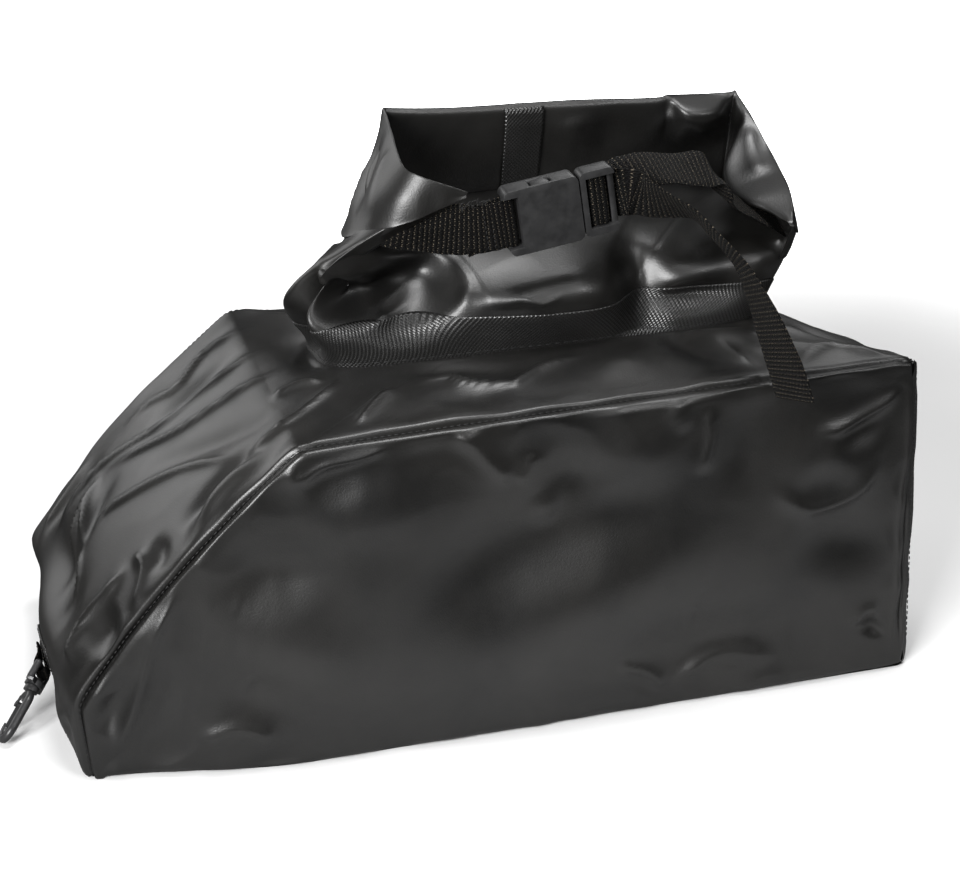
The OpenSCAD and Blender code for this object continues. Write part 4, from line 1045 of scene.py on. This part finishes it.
# ---- straps
BUCKLE_AT = np.array([10.5, -46.0, 302.0])
TILT = math.radians(8.5)
UP = np.array([-math.sin(TILT), 0, math.cos(TILT)])
WEB_W, WEB_T = 30, 1.8
SOCKET_L, PLUG_L, SLOT_L, BAR_L, BAR_T = 45, 21, 4.5, 4, 3.6
PLUG_X = SOCKET_L + 1
BUCKLE_L = PLUG_X + PLUG_L
# How far the webbing's middle lies from a bar's middle: the first layer, and the second one behind it
LAP = BAR_T / 2 + WEB_T / 2 + 0.35
BACK = LAP + WEB_T + 0.5
SLOT_X = BAR_L + SLOT_L / 2
SLOT_A, SLOT_B = PLUG_X + 3.5 + SLOT_L / 2, BUCKLE_L - 3.5 - SLOT_L / 2


def on_buckle(x, y, z):
    return BUCKLE_AT + x * np.array([math.cos(TILT), 0, math.sin(TILT)]) + np.array([0, y, 0]) + z * UP


def flat_on(*places):
    """Stations of a strap that lies square on the buckle."""
    return [(on_buckle(x, y, z), UP) for x, y, z in places]


def strap(name, node, route, body=None, width=WEB_W, step=1.2):
    """A flat strap along a route of (centre, direction across) stations, with its UV map in millimetres."""
    data = np.array([[*c, *(np.asarray(a) / np.linalg.norm(a) * 40)] for c, a in route], float)
    length = np.linalg.norm(np.diff(data[:, :3], axis=0), axis=1).sum()
    q = smooth_path(data, max(8, int(length / step)))
    C, A = q[:, :3], unit(q[:, 3:])
    tangent = unit(np.gradient(C, axis=0))
    A = unit(A - (A * tangent).sum(1)[:, None] * tangent)
    N = np.cross(tangent, A)
    front = [(a * (width / 2 - 0.3), WEB_T / 2 * (1 - abs(a) ** 8 * 0.75)) for a in np.linspace(-1, 1, 13)]
    edge = 0.98 * width / 2
    section = front + [(edge, 0)] + [(a, -b) for a, b in front[::-1]] + [(-edge, 0)]
    wave = np.random.default_rng(int(length)).normal(0, 0.12, len(C))[:, None]
    wavy = [a + math.copysign(1, a) * wave * (abs(a) > 12) for a, b in section]
    sheet = Sheet(np.stack([C + A * a + N * b for a, (_, b) in zip(wavy, section)], 1), closed=True)
    uv = np.stack([np.repeat(run_along(C), len(section)), np.tile([a for a, b in section], len(C))], 1)
    return build(name, sheet.mesh(caps=True), WEB, body, [node], uv, sharp=50)


def straps():
    strap("strap_short_webbing", "strap_short", [
        ((-66, -18, 304), (0.1, 0.5, 0.8)),
        ((-50, -36, 304), (0, 0.62, 0.78)),
        ((-32, -42, 302), (-0.06, 0.5, 0.86)),
        ((-16, -45, 300), (-0.12, 0.25, 0.96)),
        *flat_on((-12, 0.5 - LAP, 0), (-3, -LAP, 0), (SLOT_X - 2, -LAP, 0), (SLOT_X, -1, 0), (SLOT_X, 1, 0),
                 (SLOT_X - 2, LAP, 0), (-3, LAP - 0.5, 0), (-10, 2.6 - LAP, 0), (-17, 3.4 - LAP, 0)),
        (on_buckle(-25, 4.2 - LAP, -0.5), unit(UP + [0, 0.3, 0])),
    ], "closure")
    adjust = strap("strap_adjustable_webbing", "strap_adjustable", [
        *flat_on((SLOT_A, 0, 0), (SLOT_A, 2.6, 0), (SLOT_A + 2, BACK, 0), (SLOT_B, BACK, 0)),
        (on_buckle(BUCKLE_L + 4, BACK + 2, 1), unit(UP + [0, 0.15, 0])),
        (on_buckle(BUCKLE_L + 14, BACK + 7, 4), (0, 0.8, 0.6)),
        (on_buckle(BUCKLE_L + 30, 14, 4), (-0.1, 0.93, 0.36)),
        (on_buckle(BUCKLE_L + 48, 16, -2), (-0.1, 0.93, 0.36)),
        (on_buckle(BUCKLE_L + 66, 17, -8), (-0.3, 0.8, 0.52)),
        ((151, -27, 298), (-0.4, 0.83, 0.38)),
        ((166, -23, 288), (-0.45, 0.8, 0.4)),
        ((180, -20, 280), (-0.4, 0.8, 0.45)),
        ((193, -16, 272), (-0.3, 0.8, 0.5)),
    ])
    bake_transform(adjust)
    strap("strap_tail_webbing", "strap_tail", [
        *flat_on((SLOT_A, 0, 0), (SLOT_A, -2, 0), (SLOT_A + 1.5, -LAP, 0), (SLOT_B - 1.5, -LAP, 0),
                 (SLOT_B, -2, 0), (SLOT_B, 1.5, 0), (SLOT_B + 1.5, LAP, 0), (BUCKLE_L + 1, LAP, 0),
                 (BUCKLE_L + 8, -4, 1)),
        ((93, -55, 312), (-0.17, -0.3, 0.94)),
        ((111, -77, 310), (-0.25, -0.8, 0.5)),
        ((121, -93, 300), (-0.22, -0.86, 0.45)),
        ((132, -107, 286), (-0.05, -0.94, 0.3)),
        ((140, -117, 268), (0.15, -0.96, 0.12)),
        ((147, -125, 248), (0.35, -0.93, 0.04)),
        ((154, -130, 228), (0.46, -0.88, 0)),
        ((160, -132, 209), (0.48, -0.88, 0)),
    ], "plug")


straps()


# ---- stitching
def capsule(a, b, r, sides=6):
    """A short thread from a to b, sunk at both ends."""
    a, b = np.asarray(a, float), np.asarray(b, float)
    d = unit(b - a)
    side = unit(np.cross(d, [0.3, 0.5, 0.8]))
    up = np.cross(d, side)
    angles = np.arange(sides) * 2 * np.pi / sides
    rings = []
    for t, thickness in ((0, 0.25), (0.14, 0.85), (0.5, 1.1), (0.86, 0.85), (1, 0.25)):
        centre = lerp(a, b, t)
        rings.append([centre + r * thickness * (math.cos(w) * side + math.sin(w) * up) for w in angles])
    return Sheet(rings, closed=True)


def threads(name, places, body):
    """One piece from many threads, each given by its ends and its radius."""
    sheets = [capsule(*place) for place in places]
    verts = np.vstack([sheet.flat() for sheet in sheets])
    faces = np.vstack([sheet.quads() + i * len(sheet.flat()) for i, sheet in enumerate(sheets)])
    build(name, (verts, faces.tolist()), THREAD, body, uv=np.zeros((len(verts), 2)))


def stitches(name, line, body, pitch=4.0, r=0.32, visible=0.7):
    """A row of stitches along a line, each visible over a share of the pitch."""
    line = np.asarray(line, float)
    s = run_along(line)
    starts = np.arange(0, s[-1] - pitch, pitch)
    ends = read_rows(starts + pitch * visible, s, line)
    threads(name, [(a, b, r) for a, b in zip(read_rows(starts, s, line), ends)], body)


stitches("near_seam_stitches", seam(NEAR, np.arange(0.3, 37.6, 0.1)) + [0, -1.0, 0.5], "bag")
stitches("far_seam_stitches", seam(FAR, np.arange(0.3, 37.6, 0.1)) + [0, 1.0, 0.5], "bag")
stitches("neck_tape_stitches", NECK_STITCHING, "bag", 5.5)


def strap_details():
    """Two stitched rows across the short strap's lap, and the loose threads at its cut corner."""
    for row, (x, y) in enumerate(((-12, -3.5), (-8, -3.7)), 1):
        stitches(f"lap_stitches_{row}", [on_buckle(x, y, z) for z in (-13, 13)], "closure", 3.2, 0.3)
    rng = np.random.default_rng(5)
    places = []
    for _ in range(18):
        root = on_buckle(rng.uniform(-24, -9), -2.6, rng.uniform(13, 15))
        bend = root + rng.uniform((-2.5, -2.0, 1.0), (2.5, 0.5, 4.0))
        tip = bend + rng.uniform((-3.5, -1.5, -0.5), (3.5, 0.5, 3.5))
        places += [(root, bend, 0.24), (bend, tip, 0.2)]
    threads("frayed_threads", places, "closure")


strap_details()


# ---- patch and webbing loop of the snap hook
def nose_x(y, z):
    """Where the nose's fabric lies at a height z and a place y across."""
    front = TOP_POINTS[TOP_POINTS[:, 0] < NOSE_X + 20]
    weight = 1 / ((front[:, 1] - y) ** 2 + (front[:, 2] - z) ** 2 + 0.5) ** 3
    return (front[:, 0] * weight).sum() / weight.sum()


def hook_patch():
    """A square of tape with rounded corners on the nose, sewn on round its edge."""
    across, up = np.linspace(-24.5, 7.5, 17), np.linspace(21.5, 50.0, 17)
    middle = np.array([across.mean(), up.mean()])
    grid = np.array([[(nose_x(y, z) - 1.3, y, z) for y in across] for z in up])
    off_y, off_z = np.abs(across - middle[0])[None, :], np.abs(up - middle[1])[:, None]
    corner = ease(((off_y + off_z) / 32 - 0.8) / 0.2)
    grid[..., 1:] = middle + (grid[..., 1:] - middle) * (1 - 0.09 * corner)[..., None]
    grid[..., 0] += 1.3 * ease((np.maximum(off_y, off_z) - 14) / 3)
    sheet = facing(grid, 0, -1)
    uv = sheet.flat()[:, 1:]
    build("hook_patch_fabric", sheet.mesh(), TAPE, "bag", ["hook_patch"], uv, thick=1.2)
    inset = [(-21.5, 24.5, 0), (4.5, 24.5, 0), (4.5, 47, 0), (-21.5, 47, 0), (-21.5, 24.5, 0)]
    line = [(nose_x(y, z) - 1.4, y, z) for y, z in smooth_path(inset, 60)[:, :2]]
    stitches("hook_patch_stitches", line, "bag", 3.0, 0.3)


def hook_loop():
    """A loop of narrow webbing from the patch round the swivel eye's bar and back."""
    swing = next(joint for joint in frame["joints"] if joint["name"] == "eye_swing")
    eye, bar = np.array(swing["pos_m"]) / MM, unit(swing["axis"])
    away = np.array([-0.984, -0.048, -0.172])
    away = unit(away - bar * (away @ bar))
    rise = np.cross(away, bar)
    wrap, layer, sewn = 3.4, 2.2, 13

    def place(depth, height):
        return eye - away * depth + rise * height

    turns = [np.radians(a) for a in range(0, 181, 30)]
    route = [place(wrap + 1.4, sewn + 3), place(wrap + 0.3, 6)]
    route += [place(wrap * math.cos(a), -wrap * math.sin(a)) for a in turns]
    route += [place(-wrap * 0.6, 4.5), place(wrap - layer + 0.5, sewn - 3)]
    route += [place(wrap - layer + 1.4, sewn + 3)]
    strap("hook_loop_webbing", "hook_loop", [(centre, bar) for centre in route], "bag", 15, 0.8)
    for row, (depth, height) in enumerate(((0.85, 11.5), (1.4, 15)), 1):
        line = [place(depth, height) + bar * k for k in (-5.5, 5.5)]
        stitches(f"hook_loop_stitches_{row}", line, "bag", 2.4, 0.28)


hook_patch()
hook_loop()


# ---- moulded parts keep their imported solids
def soften(node, material, width, angle=35):
    """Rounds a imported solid's edges and gives it its material."""
    piece = bpy.data.objects[node]
    piece.modifiers.new("weld", "WELD").merge_threshold = 0.00002
    bevel = piece.modifiers.new("edges", "BEVEL")
    bevel.width = width * MM
    bevel.segments = 2
    bevel.limit_method = "ANGLE"
    bevel.angle_limit = math.radians(angle)
    mesh = piece.data
    mesh.materials.clear()
    mesh.materials.append(material)
    mesh.polygons.foreach_set("use_smooth", [True] * len(mesh.polygons))
    mesh.set_sharp_from_angle(angle=math.radians(angle))


for node in ("buckle_socket", "buckle_plug", "latch_upper", "latch_lower"):
    soften(node, PLASTIC, 0.5)
for node in ("hook_body", "hook_gate", "swivel_eye"):
    soften(node, HOOK, 0.3)


# ---- camera, light and floor, in metres
def stand(name, data, place, direction):
    """Puts a camera or a light at a place, looking along a direction."""
    thing = bpy.data.objects.new(name, data)
    thing.location = place
    thing.rotation_euler = direction.to_track_quat("-Z", "Y").to_euler()
    bpy.context.scene.collection.objects.link(thing)
    return thing


def camera():
    turn, fall = math.radians(16), math.radians(27)
    look = Vector((math.sin(turn) * math.cos(fall), math.cos(turn) * math.cos(fall), -math.sin(fall)))
    data = bpy.data.cameras.new("camera")
    data.sensor_width = 36
    data.lens = 82.5
    data.clip_start = 0.02
    bpy.context.scene.camera = stand("camera", data, (-0.3283, -1.1769, 0.7634), look)


def area(name, place, target, width, height, power):
    data = bpy.data.lights.new(name, "AREA")
    data.energy = power
    data.shape = "RECTANGLE"
    data.size, data.size_y = width, height
    stand(name, data, place, Vector(target) - Vector(place))


def lamps():
    """A key from the front left, weak softboxes in front and overhead, and two dim screens behind."""
    area("key", (-1.6, -1.65, 1.2), (0, 0, 0.12), 1.1, 1.0, 100)
    area("front", (0.95, -1.55, 1.8), (0.08, -0.05, 0.22), 0.5, 0.5, 12)
    area("overhead", (0.14, -0.16, 1.8), (0.05, 0, 0.24), 0.7, 0.5, 19)
    area("left_screen", (-1.3, 1.7, 0.85), (-0.1, 0, 0.18), 1.6, 1.3, 13)
    area("back_screen", (1.1, 1.7, 1.5), (0.2, 0, 0.2), 1.4, 1.2, 10)


def studio():
    """White to camera and transmission rays, dim to all others."""
    world = bpy.data.worlds.new("studio")
    bpy.context.scene.world = world
    nodes = Nodes(world)
    background = nodes.tree.nodes["Background"]
    rays = nodes.add("LightPath").outputs
    seen = nodes.calc("MAXIMUM", rays["Is Camera Ray"], rays["Is Transmission Ray"])
    background.inputs["Color"].default_value = (1, 1, 1, 1)
    nodes.link(nodes.calc("MULTIPLY_ADD", seen, 0.96, 0.04), background.inputs["Strength"])


def floor_material():
    """White to the camera, with the shadow kept; to all other rays a pool of light painted on the floor
    before the bag, which the bag mirrors, and dim elsewhere.
    """
    material = bpy.data.materials.new("floor")
    nodes = Nodes(material)
    nodes.tree.nodes.remove(nodes.shader)
    matt = nodes.add("BsdfDiffuse")
    nodes.link(matt.outputs[0], nodes.tree.nodes["Material Output"].inputs["Surface"])
    seen = nodes.add("LightPath").outputs["Is Camera Ray"]
    place = nodes.place()
    away = nodes.add("VectorMath")
    away.operation = "DISTANCE"
    nodes.link(place, away.inputs[0])
    away.inputs[1].default_value = (0.02, -0.27, 0)
    x, y = nodes.split(place)
    # A pool of light painted on the floor before the bag, seen only by reflected rays; the floor is painted
    # dim beyond it
    along = nodes.calc("POWER", nodes.calc("MULTIPLY", x, 1.6), 2.0)
    across = nodes.calc("POWER", nodes.calc("MULTIPLY_ADD", y, 5.2, 5.2 * 0.21), 2.0)
    near = nodes.calc("EXPONENT", nodes.calc("MULTIPLY", nodes.calc("ADD", along, across), -1.0))
    table = nodes.calc("MULTIPLY_ADD", near, 0.46, 0.03)
    far = nodes.add("MapRange", **{"From Min": 0.7, "From Max": 2.4, "To Min": 0.82, "To Max": 16.0})
    far.interpolation_type = "SMOOTHSTEP"
    nodes.link(away.outputs["Value"], far.inputs["Value"])
    over = nodes.calc("SUBTRACT", far.outputs["Result"], table)
    tone = nodes.calc("MULTIPLY_ADD", seen, over, table)
    colour = nodes.add("CombineColor")
    for socket in colour.inputs:
        nodes.link(tone, socket)
    nodes.link(colour.outputs[0], matt.inputs["Color"])
    return material


def floor(reach=3.5):
    mesh = bpy.data.meshes.new("floor")
    corners = [(-reach, -reach, 0), (reach, -reach, 0), (reach, reach, 0), (-reach, reach, 0)]
    mesh.from_pydata(corners, [], [(0, 1, 2, 3)])
    mesh.materials.append(floor_material())
    plane = bpy.data.objects.new("floor", mesh)
    bpy.context.scene.collection.objects.link(plane)


camera()
lamps()
studio()
floor()

bpy.context.scene.view_settings.view_transform = "Standard"
